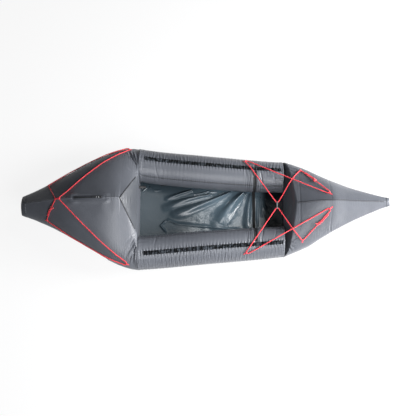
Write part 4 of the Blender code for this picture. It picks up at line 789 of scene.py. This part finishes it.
# Seams of the side tubes: a narrow tape with a welt on each tube's inner top, and a tape round each tube
# where it leaves the stern, both heat-welded on.
tape_finish = coated_fabric("seam_tape_fabric", (0.030, 0.032, 0.038), (0.044, 0.047, 0.055),
                            roughness=0.40, crinkle=0.10, specular=0.34)
seam_finish = coated_fabric("dark_seam_tape_fabric", (0.010, 0.011, 0.013), (0.018, 0.019, 0.023),
                            roughness=0.55, crinkle=0.10, specular=0.20)
seam_span, seam_half = (-0.492, 0.608), radians(2.6)
joint_x, joint_half, tape_sink = -0.5035, 0.0102, -0.0010
for side, side_name in both_sides:
    x = np.linspace(*seam_span, 560)[:, None]
    share = np.linspace(-1, 1, 15)[None, :]
    seam = tube_band(side_name + "_tube_seam_tape", side, x, seam_angle + share * seam_half, tape_sink,
                     0.0008 * (1 - share ** 8) + 0.0026 * bump(share, 0.30), tape_finish)
    on_hull(seam, "seam_tape", side_name + "_tube_seam")
    turn = np.linspace(radians(-100), radians(134), 300)[:, None]
    share = np.linspace(-1, 1, 9)[None, :]
    joint = tube_band(side_name + "_joint_tape", side, joint_x + joint_half * share, turn, tape_sink,
                      0.0011 * (1 - share ** 8), painted_light_fabric)
    on_hull(joint, "seam_tape", side_name + "_stern_joint_tape")

# Cross strap: thin black webbing over both tubes and the floor, which it presses down, with a welded
# patch under each end.
strap_half, strap_thickness, seat_tab_thickness = 0.0118, 0.0013, 0.0022
patch_half, patch_angle, patch_reach = 0.020, radians(4.4), radians(7.3)
seat_tab_x, seat_tab_half, seat_tab_angle, seat_tab_reach = -0.335, 0.0345, radians(114), radians(5.2)
edge_loss = 0.7


def webbing(name, middle, thickness, finish):
    """A flat band with rounded edges from the grid of its middle surface, closed all round."""
    normal = np.cross(np.gradient(middle, axis=0), np.gradient(middle, axis=1))
    normal /= np.maximum(np.linalg.norm(normal, axis=2, keepdims=True), 1e-12)
    share = np.linspace(-1, 1, middle.shape[1])[None, :, None]
    out = normal * (thickness / 2 * (1 - edge_loss * np.abs(share) ** 8))
    return fabric_piece(name, np.concatenate([middle + out, (middle - out)[:, ::-1]], 1), finish)


strap_finish, tree, shader = new_finish("black_webbing", Roughness=0.68, Specular_IOR_Level=0.3)
place = add_node(tree, "ShaderNodeTexCoord").outputs["UV"]
weave = math_node(tree, "MULTIPLY", bands(tree, place, "X", 120.0, 0.3), bands(tree, place, "Y", 180.0, 0.3))
colour_between(tree, shader, weave, (0.010, 0.010, 0.011), (0.034, 0.035, 0.038))
raise_surface(tree, shader, weave, strength=0.6, depth=0.0005)
strap_edges = strap_x + np.linspace(-strap_half, strap_half, 9)[None, :]
halves = []
for side in (1, -1):
    on_tube = tube_skin(side, strap_edges, np.linspace(radians(-3), radians(121), 130)[:, None], 0.0020)
    on_floor = floor_surface(strap_edges, (side * np.linspace(0.90, 0.0, 60))[:, None], 0.0012)
    bridge = on_tube[-1] + (on_floor[0] - on_tube[-1]) * np.linspace(0, 1, 12)[1:-1][:, None, None]
    halves.append(np.concatenate([on_tube, bridge, on_floor]))
strap_grid = smoothed(np.concatenate([halves[0], halves[1][::-1][1:]]), 10)
cross_strap = webbing("cross_strap_webbing", strap_grid, strap_thickness, strap_finish)
on_hull(cross_strap, "strap_webbing", "cross_strap")
for side, side_name in both_sides:
    share = np.linspace(-1, 1, 21)[None, :]
    along = np.linspace(-1, 1, 21)[:, None]
    rounding = (1 - share ** 10) * (1 - along ** 10)
    patch = tube_band(side_name + "_strap_weld_patch", side, strap_x + patch_half * along,
                      patch_angle + patch_reach * share, -0.0012, 0.0012 * rounding, tape_finish)
    on_hull(patch, "seam_tape", side_name + "_strap_patch")
    # Seat tab: folded webbing, stitched down at both ends and standing a little off the tube between them
    along = np.linspace(-1, 1, 61)[:, None]
    share = np.linspace(-1, 1, 9)[None, :]
    arch = 0.0018 + 0.0060 * np.clip(1 - (along / 0.62) ** 2, 0, 1) ** 1.5
    middle = tube_skin(side, seat_tab_x + seat_tab_half * along, seat_tab_angle + seat_tab_reach * share,
                       arch)
    seat_tab = webbing(side_name + "_seat_tab_webbing", middle, seat_tab_thickness, strap_finish)
    on_hull(seat_tab, "strap_webbing", side_name + "_seat_tab")


# Ridge tapes of stern and bow, and the tape on the Y seam, whose arms follow the slanted panel's edges. They
# and all that lies on the stern and the bow follow the real, puffed and creased surface.
ridge_tape_half, arm_tape_half, tape_lift = 0.0085, 0.0050, 0.0002
stern_ridge_span, bow_ridge_span, stem_span = (-1.3705, -0.998), (0.716, 1.370), (-0.736, -0.640)
near_skin, far_skin, sample_reach, probe_height = 0.020, 0.060, 0.010, 0.03


def tree_of(objects):
    """One search tree over the faces of several objects."""
    points, faces = [], []
    for item in objects:
        start = len(points)
        points += [vertex.co.copy() for vertex in item.data.vertices]
        faces += [[start + v for v in face.vertices] for face in item.data.polygons
                  if len(face.vertices) <= 4]
    return BVHTree.FromPolygons(points, faces)


puffed = tree_of([stern_fabric, bow_fabric, bpy.data.objects["port_tube_fabric"],
                  bpy.data.objects["starboard_tube_fabric"]])
plain = tree_of([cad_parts[name] for name in ("stern_hull", "back_panel", "bow_hull", "bow_rear_panel",
                                                   "port_side_tube", "starboard_side_tube")])


def rise(point):
    """How far the puffed fabric stands over the model's plain skin under a point, and the way out of it."""
    place, normal, _, distance = plain.find_nearest(point)
    fade = 1 - float(soft_step(near_skin, far_skin, np.array(distance)))
    if fade == 0:
        return 0.0, normal
    sideways = normal.orthogonal().normalized()
    total, count = 0.0, 0
    for i in range(7):
        aside = Vector((0, 0, 0))
        if i:
            aside = (sideways * cos(i * pi / 3) + normal.cross(sideways) * sin(i * pi / 3)) * sample_reach
        spot, out, _, _ = plain.find_nearest(place + aside)
        hit, _, _, _ = puffed.ray_cast(spot + out * probe_height, -out, 2 * probe_height)
        if hit:
            total, count = total + (hit - spot).dot(out), count + 1
    return (total / count * fade if count else 0.0), normal


def laid_tape(name, path, half_width, finish, thickness, welt=0.0):
    """A tape on the puffed fabric under a path."""
    path = [Vector(point) for point in path]
    share = np.linspace(-1, 1, 9)
    normals = []
    for point in path:
        total = Vector((0, 0, 0))
        for step in (Vector((0.008, 0, 0)), Vector((0, 0.008, 0)), Vector((0, 0, 0.008))):
            for sign in (1, -1):
                total += puffed.find_nearest(point + step * sign)[1]
        normals.append(total.normalized())
    middle = []
    for i, point in enumerate(path):
        ahead = path[min(i + 1, len(path) - 1)] - path[max(i - 1, 0)]
        across = normals[i].cross(ahead).normalized()
        row = []
        for s in share:
            place, normal, _, _ = puffed.find_nearest(point + across * (half_width * s))
            away = tape_lift + welt * (1 - abs(s)) ** 2
            row.append(place + (normal + normals[i]).normalized() * away)
        middle.append(row)
    grid = smoothed(np.array([[tuple(point) for point in row] for row in middle]), 2)
    return webbing(name, grid, thickness, finish)


def ridge_line(grid, start, end, count):
    """Points on a grid's ridge between two places along the boat."""
    line = grid[:, 0]
    x = np.linspace(start, end, count)
    order = np.argsort(line[:, 0])
    return [(at, 0.0, float(np.interp(at, line[order, 0], line[order, 2]))) for at in x]


stern_ridge = laid_tape("stern_ridge_seam_tape", ridge_line(stern, *stern_ridge_span, 90), ridge_tape_half,
                        painted_light_fabric, 0.0012, 0.0012)
on_hull(stern_ridge, "seam_tape", "stern_ridge_tape")
bow_ridge = laid_tape("bow_ridge_seam_tape", ridge_line(bow, *bow_ridge_span, 150), ridge_tape_half,
                      tape_finish, 0.0012, 0.0010)
on_hull(bow_ridge, "seam_tape", "bow_ridge_tape")
stem = ridge_line(stern, *stem_span, 26)
y_stem = laid_tape("y_seam_stem_tape", stem, ridge_tape_half, painted_light_fabric, 0.0012, 0.0010)
on_hull(y_stem, "seam_tape", "y_seam_tape")
for side, side_name in both_sides:
    arm = np.array([stem[-1]] + [(x, side * y, z) for x, y, z in y_seam if apex_x + 0.004 < x < -0.530])
    y_arm = laid_tape("y_seam_" + side_name + "_tape", evenly(arm, 70), arm_tape_half, seam_finish, 0.0010)
    on_hull(y_arm, "seam_tape", "y_seam_tape")

# Welded tips: the last centimetres of both ends are pressed flat and welded round with tape. The cap's
# rings have their shares of the end's size and their steps out of it.
for name, ends, node, way in (("stern_tip_weld_band", stern[:7], "stern_tip_weld", -1),
                              ("bow_tip_weld_band", bow[-6:][::-1], "bow_tip_weld", 1)):
    out = skin_normals(ends)
    outer = ends + out * 0.0012
    outer[:, :, 0] = ends[:, :, 0]
    inner = ends[::-1][:1] - out[::-1][:1] * 0.0015
    inner[:, :, 0] = ends[-1, :, 0]
    steps = ((0.02, 0.00054), (0.25, 0.00054), (0.6, 0.00072), (0.90, 0.00084), (0.97, 0.0006))
    cap = drawn_in(outer[0], ends[0].mean(0), [(share, ends[0, :, 0] + way * step) for share, step in steps])
    weld = fabric_piece(name, np.concatenate([cap, outer, inner]), hull_finish)
    on_hull(weld, "seam_tape", node)

# Shock cords: 8 mm elastic rope with a braided cover, held taut in webbing tabs on the hull and, over the
# cockpit, by one small clip. Each loop is closed by a knot, beyond which its end runs back doubled.
stern_cord = (
    (-1.1281, -0.0081, 0.4452), (-1.1266, -0.0057, 0.4457), (-1.1257, -0.0029, 0.4461), (-1.1254, 0, 0.4462),
    (-1.1257, 0.0029, 0.4461), (-1.1266, 0.0057, 0.4457), (-1.1281, 0.0081, 0.4452),
    (-1.1983, 0.1284, 0.3403), (-1.1991, 0.1306, 0.3381), (-1.199, 0.133, 0.3361), (-1.1983, 0.1356, 0.3343),
    (-1.1969, 0.1381, 0.333), (-1.1949, 0.1405, 0.3321), (-1.1924, 0.1424, 0.3317), (-1.0152, 0.2595, 0.3174),
    (-0.9007, 0.3292, 0.3055), (-0.7644, 0.4043, 0.2872), (-0.6832, 0.4394, 0.2716),
    (-0.6116, 0.4683, 0.2567), (-0.6058, 0.4686, 0.255), (-0.6, 0.4669, 0.2551), (-0.5954, 0.4635, 0.2571),
    (-0.593, 0.4591, 0.2605), (-0.5934, 0.4547, 0.2647), (-0.5965, 0.4512, 0.2686), (-0.6645, 0.4043, 0.3101),
    (-0.7318, 0.3505, 0.3435), (-0.757, 0.33, 0.3556), (-0.7654, 0.3228, 0.359), (-0.8232, 0.2697, 0.3788),
    (-0.8971, 0.2002, 0.4024), (-1.0112, 0.09, 0.4351), (-1.0925, 0.0109, 0.4577), (-1.0943, 0.0083, 0.4571),
    (-1.0954, 0.0053, 0.4568), (-1.0957, 0.0022, 0.4567), (-1.0954, -0.0009, 0.4568),
    (-1.0943, -0.0039, 0.4571), (-1.0926, -0.0065, 0.4577), (-1.0117, -0.087, 0.4365),
    (-0.8974, -0.1981, 0.4035), (-0.8234, -0.2681, 0.3797), (-0.7655, -0.3216, 0.3596),
    (-0.7571, -0.3289, 0.3563), (-0.7319, -0.3496, 0.344), (-0.6646, -0.404, 0.3104),
    (-0.5964, -0.4512, 0.2686), (-0.5934, -0.4547, 0.2647), (-0.593, -0.4591, 0.2605),
    (-0.5954, -0.4635, 0.2571), (-0.6, -0.4669, 0.2551), (-0.6058, -0.4686, 0.255),
    (-0.6116, -0.4682, 0.2568), (-0.6832, -0.4394, 0.2716), (-0.7643, -0.4043, 0.2873),
    (-0.9007, -0.3292, 0.3055), (-1.0152, -0.2595, 0.3174), (-1.1924, -0.1424, 0.3317),
    (-1.1949, -0.1405, 0.3321), (-1.1969, -0.1381, 0.333), (-1.1983, -0.1356, 0.3343),
    (-1.199, -0.133, 0.3361), (-1.1991, -0.1306, 0.3381), (-1.1983, -0.1284, 0.3403),
    (-1.1682, -0.0759, 0.3957), (-1.1523, -0.049, 0.4169),
)
stern_knot = (
    (-1.1951, -0.1051, 0.3599), (-1.18, -0.0788, 0.3875), (-1.1752, -0.0704, 0.3961),
    (-1.1725, -0.0662, 0.4021), (-1.1715, -0.0659, 0.4054), (-1.1695, -0.0686, 0.4086),
    (-1.1659, -0.0709, 0.4102), (-1.1615, -0.0722, 0.4099), (-1.1574, -0.072, 0.4078),
    (-1.1546, -0.0701, 0.4046), (-1.1538, -0.0669, 0.4014), (-1.1551, -0.0632, 0.3989),
    (-1.1581, -0.0598, 0.3982), (-1.1619, -0.0575, 0.3993), (-1.1654, -0.0567, 0.4023),
    (-1.1676, -0.0575, 0.4062), (-1.1678, -0.0596, 0.4104), (-1.1658, -0.0623, 0.4136),
    (-1.1622, -0.0646, 0.4152), (-1.1578, -0.0659, 0.4148), (-1.1537, -0.0657, 0.4127),
    (-1.1509, -0.0638, 0.4096), (-1.1501, -0.0607, 0.4063), (-1.1514, -0.057, 0.4039),
    (-1.1545, -0.0535, 0.4031), (-1.1583, -0.0512, 0.4043), (-1.1617, -0.0504, 0.4072),
    (-1.1639, -0.0512, 0.4112), (-1.1641, -0.0533, 0.4153), (-1.1621, -0.056, 0.4185),
    (-1.1585, -0.0584, 0.4201), (-1.1499, -0.064, 0.4239), (-1.1395, -0.0668, 0.43),
)
port_bow_cord = (
    (0.3387, 0.3722, 0.2251), (0.3329, 0.3735, 0.2243), (0.327, 0.3729, 0.2255), (0.3223, 0.3704, 0.2284),
    (0.3199, 0.3667, 0.2324), (0.3202, 0.3624, 0.2367), (0.3231, 0.3586, 0.2402), (0.3465, 0.3285, 0.2536),
    (0.3696, 0.2964, 0.2613), (0.5531, 0.0271, 0.27), (0.5559, 0.0241, 0.27), (0.5596, 0.0222, 0.27),
    (0.5636, 0.0215, 0.27), (0.5677, 0.0221, 0.27), (0.5713, 0.0239, 0.27), (0.5743, 0.0268, 0.27),
    (0.675, 0.1951, 0.3029), (0.678, 0.1993, 0.3031), (0.6937, 0.2192, 0.2996), (0.6969, 0.223, 0.2983),
    (0.7322, 0.2643, 0.283), (0.7354, 0.2678, 0.2811), (0.7418, 0.274, 0.276), (0.7446, 0.276, 0.2744),
    (0.748, 0.2772, 0.2733), (0.7518, 0.2775, 0.2727), (0.7555, 0.2768, 0.2728), (0.7589, 0.2753, 0.2735),
    (0.7617, 0.2731, 0.2747), (0.8415, 0.1942, 0.3262), (0.947, 0.0851, 0.3844), (0.9502, 0.082, 0.3867),
    (0.9534, 0.0783, 0.3877), (0.956, 0.074, 0.3908), (0.956, 0.0691, 0.3941), (0.9533, 0.0646, 0.3968),
    (0.9486, 0.0614, 0.3985), (0.9428, 0.0602, 0.3987), (0.9371, 0.0613, 0.3974), (0.3687, 0.3582, 0.2359),
)
port_bow_knot = (
    (0.7876, 0.2585, 0.2834), (0.8195, 0.2269, 0.3039), (0.8227, 0.2246, 0.3073), (0.8259, 0.2214, 0.3093),
    (0.829, 0.2173, 0.3099), (0.8322, 0.2151, 0.3135), (0.8386, 0.2088, 0.3176), (0.8453, 0.2023, 0.3222),
    (0.8499, 0.1981, 0.3269), (0.8508, 0.1969, 0.33), (0.8488, 0.1959, 0.3341), (0.8459, 0.1934, 0.3366),
    (0.843, 0.1898, 0.337), (0.8411, 0.1859, 0.3353), (0.8408, 0.1828, 0.3319), (0.8423, 0.181, 0.3279),
    (0.8453, 0.1809, 0.3244), (0.8492, 0.1825, 0.3224), (0.853, 0.1851, 0.3226), (0.8558, 0.188, 0.3248),
    (0.8571, 0.1902, 0.3287), (0.8565, 0.191, 0.3332), (0.8545, 0.19, 0.3372), (0.8516, 0.1875, 0.3397),
    (0.8487, 0.1839, 0.3401), (0.8468, 0.18, 0.3384), (0.8465, 0.1769, 0.3351), (0.848, 0.1751, 0.3311),
    (0.851, 0.175, 0.3276), (0.8549, 0.1766, 0.3256), (0.8587, 0.1792, 0.3257), (0.8615, 0.1821, 0.328),
    (0.8628, 0.1843, 0.3318), (0.8622, 0.1851, 0.3363), (0.8602, 0.1841, 0.3404), (0.8573, 0.1816, 0.3429),
    (0.8504, 0.1755, 0.3489), (0.8461, 0.1667, 0.3564),
)
starboard_bow_knot = (
    (0.9409, -0.1037, 0.3752), (0.9345, -0.1104, 0.3718), (0.9313, -0.1131, 0.3689),
    (0.8994, -0.1468, 0.3522), (0.8926, -0.1538, 0.3486), (0.8875, -0.1596, 0.3476),
    (0.8852, -0.1619, 0.3489), (0.8823, -0.1622, 0.3525), (0.8785, -0.1608, 0.3546),
    (0.8746, -0.1582, 0.3548), (0.8717, -0.1553, 0.3527), (0.8704, -0.1529, 0.349), (0.8708, -0.1518, 0.3446),
    (0.8728, -0.1525, 0.3405), (0.8756, -0.1548, 0.3377), (0.8785, -0.1584, 0.337), (0.8805, -0.1623, 0.3385),
    (0.8809, -0.1657, 0.3416), (0.8795, -0.1677, 0.3455), (0.8766, -0.168, 0.3491), (0.8727, -0.1666, 0.3512),
    (0.8689, -0.164, 0.3514), (0.866, -0.1611, 0.3494), (0.8646, -0.1587, 0.3457), (0.8651, -0.1576, 0.3412),
    (0.8671, -0.1583, 0.3371), (0.8699, -0.1606, 0.3343), (0.8728, -0.1642, 0.3336),
    (0.8748, -0.1681, 0.3351), (0.8752, -0.1714, 0.3382), (0.8738, -0.1735, 0.3421),
    (0.8709, -0.1738, 0.3457), (0.867, -0.1724, 0.3479), (0.8579, -0.169, 0.353), (0.8462, -0.1683, 0.3566),
)
# The starboard loop mirrors the port one, but for a few points by the knot
starboard_bow_cord = (
    *((x, -y, z) for x, y, z in port_bow_cord[:29]),
    (0.8639, -0.1711, 0.3384), (0.8863, -0.1485, 0.3516), (0.947, -0.0851, 0.3844), (0.9502, -0.0821, 0.3867),
    *((x, -y, z) for x, y, z in port_bow_cord[32:]),
)
cord_radius, cord_step, cord_sides, strand_angle = 0.004, 0.0035, 14, radians(38)
rise_share, spread_reach = 0.95, 6
cord_finish, tree, shader = new_finish("braided_red_cord", Roughness=0.55, Specular_IOR_Level=0.35,
                                       Sheen_Weight=0.2)
place = add_node(tree, "ShaderNodeTexCoord").outputs["UV"]
left, right = (add_node(tree, "ShaderNodeMapping", Vector=place, Rotation=(0, 0, angle)).outputs["Vector"]
               for angle in (strand_angle, -strand_angle))
braid = math_node(tree, "MULTIPLY", bands(tree, left, "X", 170.0), bands(tree, right, "X", 170.0))
colour_between(tree, shader, braid, (0.46, 0.010, 0.022), (0.78, 0.045, 0.062))
raise_surface(tree, shader, braid, strength=0.7, depth=0.0006)


def settled_route(points, closed):
    """The route of a cord at close steps, moved out by as much as the puffed fabric stands over the skin."""
    line = np.array(points + points[:1] if closed else points)
    fine = evenly(line, max(12, int(run_along(line)[-1] / cord_step)) + 1)
    if closed:
        fine = fine[:-1]
    lifts, ways = zip(*[rise(Vector(point)) for point in fine])
    lifts = np.array(lifts)
    near = range(-spread_reach, spread_reach + 1)
    if closed:
        peaks = np.max([np.roll(lifts, k) for k in near], axis=0)
        lifts = np.mean([np.roll(peaks, k) for k in near], axis=0)
    else:
        lifts = np.full(len(lifts), lifts.mean())
    fine = fine + np.array([tuple(way) for way in ways]) * (lifts * rise_share)[:, None]
    if not closed:
        return smoothed(fine, 3)
    for _ in range(3):
        fine = (np.roll(fine, 1, axis=0) + 2 * fine + np.roll(fine, -1, axis=0)) / 4
    return fine


def rope(name, route, closed, radius, finish):
    """A round rope along a route, with its UV map in metres along and round it. Open ends are rounded off."""
    if closed:
        ahead = np.roll(route, -1, axis=0) - np.roll(route, 1, axis=0)
    else:
        ahead = np.gradient(route, axis=0)
    ahead /= np.linalg.norm(ahead, axis=1, keepdims=True)
    side = np.cross(ahead[0], (0.3, 0.2, 0.93))
    side /= np.linalg.norm(side)
    sides = [side]
    for way in ahead[1:]:
        side = sides[-1] - way * (sides[-1] @ way)
        sides.append(side / np.linalg.norm(side))
    sides = np.array(sides)
    if closed:
        last = sides[-1] - ahead[0] * (sides[-1] @ ahead[0])
        twist = np.arctan2(np.cross(last, sides[0]) @ ahead[0], last @ sides[0])
        turns = twist * np.arange(len(route)) / len(route)
        sides = sides * np.cos(turns)[:, None] + np.cross(ahead, sides) * np.sin(turns)[:, None]
    ups = np.cross(ahead, sides)
    turn = np.linspace(0, 2 * pi, cord_sides + 1)[:-1]
    spokes = sides[:, None] * np.cos(turn)[None, :, None] + ups[:, None] * np.sin(turn)[None, :, None]
    grid = route[:, None] + spokes * radius
    if closed:
        made = fabric_piece(name, np.concatenate([grid, grid[:1]]), finish, capped=False)
        in_edit_mode(made, lambda: bpy.ops.mesh.remove_doubles(threshold=0.0002))
        return made
    front, back = (np.array([route[end] + ahead[end] * (way * radius * 0.8 * sin(bend))
                             + spokes[end] * radius * cos(bend) for bend in (0.35, 0.75, 1.15, 1.45)])
                   for end, way in ((0, -1), (-1, 1)))
    return fabric_piece(name, np.concatenate([front[::-1], grid, back]), finish)


for name, points, closed in (("stern_shock_cord", stern_cord, True), ("stern_cord_knot", stern_knot, False),
                             ("port_bow_shock_cord", port_bow_cord, True),
                             ("port_bow_cord_knot", port_bow_knot, False),
                             ("starboard_bow_shock_cord", starboard_bow_cord, True),
                             ("starboard_bow_cord_knot", starboard_bow_knot, False)):
    cord = rope(name + "_rope", settled_route(points, closed), closed, cord_radius, cord_finish)
    on_hull(cord, "shock_cord", name)

# Webbing tabs that hold the cords, and the band that links the stern cord to the ridge. Each is a folded
# strip, welded down by its tails, with the cord in its eye.
merge_distance, corner_angle, smooth_angle = 0.00002, radians(40), radians(35)


def grained_finish(name, dark, light, scale, detail, relief=(), **looks):
    """A material with a fine grain in its colour and, by a strength and a depth, in its surface."""
    finish, tree, shader = new_finish(name, **looks)
    place = add_node(tree, "ShaderNodeTexCoord").outputs["Object"]
    grain = add_node(tree, "ShaderNodeTexNoise", Vector=place, Scale=scale, Detail=detail).outputs["Fac"]
    colour_between(tree, shader, grain, dark, light)
    if relief:
        raise_surface(tree, shader, grain, *relief)
    return finish


def refined_copy(node, name, finish, follow, bevel=0.0003):
    """A copy of a CAD node with its doubles merged and its edges rounded. It may follow the puffed fabric."""
    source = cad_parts[node]
    copy = source.copy()
    copy.data = source.data.copy()
    copy.name = name
    copy.parent = None
    bpy.context.scene.collection.objects.link(copy)
    in_edit_mode(copy, lambda: bpy.ops.mesh.remove_doubles(threshold=merge_distance), turn_outward)
    rounded = copy.modifiers.new("rounded", "BEVEL")
    rounded.width = bevel
    rounded.segments = 2
    rounded.limit_method = "ANGLE"
    rounded.angle_limit = corner_angle
    bpy.ops.object.modifier_apply(modifier="rounded")
    if follow:
        for vertex in copy.data.vertices:
            lift, way = rise(vertex.co)
            vertex.co += way * lift * rise_share
    copy.data.materials.clear()
    copy.data.materials.append(finish)
    bpy.ops.object.shade_smooth_by_angle(angle=smooth_angle)
    return copy


tab_finish = grained_finish("red_tab_webbing", (0.40, 0.008, 0.020), (0.80, 0.030, 0.055), 420.0, 2.0,
                            (0.5, 0.0005), Roughness=0.6, Sheen_Weight=0.2)
for _, side_name in both_sides:
    for place in ("stern_tip", "stern_wide", "bow_aft", "bow_side", "bow_ridge"):
        node = side_name + "_" + place + "_tab"
        on_hull(refined_copy(node, node + "_webbing", tab_finish, True), "red_webbing", node)
link = refined_copy("ridge_link_band", "ridge_link_webbing", tab_finish, True)
on_hull(link, "red_webbing", "ridge_link_band")

# Cord clip: one moulded grey hook that holds both bow loops together. Its solid keeps its form, with
# rounded edges.
clip_finish = grained_finish("moulded_clip_plastic", (0.09, 0.092, 0.095), (0.13, 0.132, 0.136), 900.0, 2.0,
                             (0.2, 0.0003), Roughness=0.45)
clip = refined_copy("cord_clip", "cord_clip_moulding", clip_finish, False, 0.0006)
on_hull(clip, "clip_plastic", "cord_clip")

# Airtight zip in the stern ridge: rubber-coated tape welded to the hull, two rows of moulded teeth, and a
# slider with a puller that lies back along the rows.
on_hull(refined_copy("zip_tape", "zip_coated_tape", hull_finish, False, 0.0004), "zip_rubber", "zip_tape")
teeth_finish = grained_finish("moulded_zip_teeth", (0.010, 0.010, 0.011), (0.024, 0.024, 0.026), 700.0, 3.0,
                              (0.3, 0.0002), Roughness=0.5)
slider_finish, tree, shader = new_finish("dark_slider_metal", Base_Color=(0.16, 0.165, 0.175, 1),
                                         Metallic=0.9)
place = add_node(tree, "ShaderNodeTexCoord")
brushed = add_node(tree, "ShaderNodeTexNoise", Vector=place.outputs["Object"], Scale=500.0, Detail=4.0)
wear = add_node(tree, "ShaderNodeMapRange", Value=brushed.outputs["Fac"], To_Min=0.28, To_Max=0.48)
tree.links.new(wear.outputs["Result"], shader.inputs["Roughness"])

# Valves: moulded plastic with rubber flap and tube. They and the zip's moulded and metal pieces keep the
# model's own solids, each in its own material.
valve_finish = grained_finish("moulded_valve_plastic", (0.012, 0.012, 0.013), (0.026, 0.026, 0.028),
                              800.0, 3.0, (0.25, 0.0003), Roughness=0.38)
rubber_finish = grained_finish("valve_rubber", (0.014, 0.014, 0.015), (0.045, 0.045, 0.047), 150.0, 5.0,
                               Roughness=0.7)
for names, finish in (
        (("zip_port_teeth", "zip_starboard_teeth", "zip_dock", "zip_end_stop"), teeth_finish),
        (("zip_slider", "zip_puller"), slider_finish),
        (("valve_base", "valve_plug", "valve_cap", "mouth_flange", "mouth_nozzle"), valve_finish),
        (("valve_flap", "mouth_tube"), rubber_finish)):
    for name in names:
        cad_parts[name].material_slots[0].material = finish
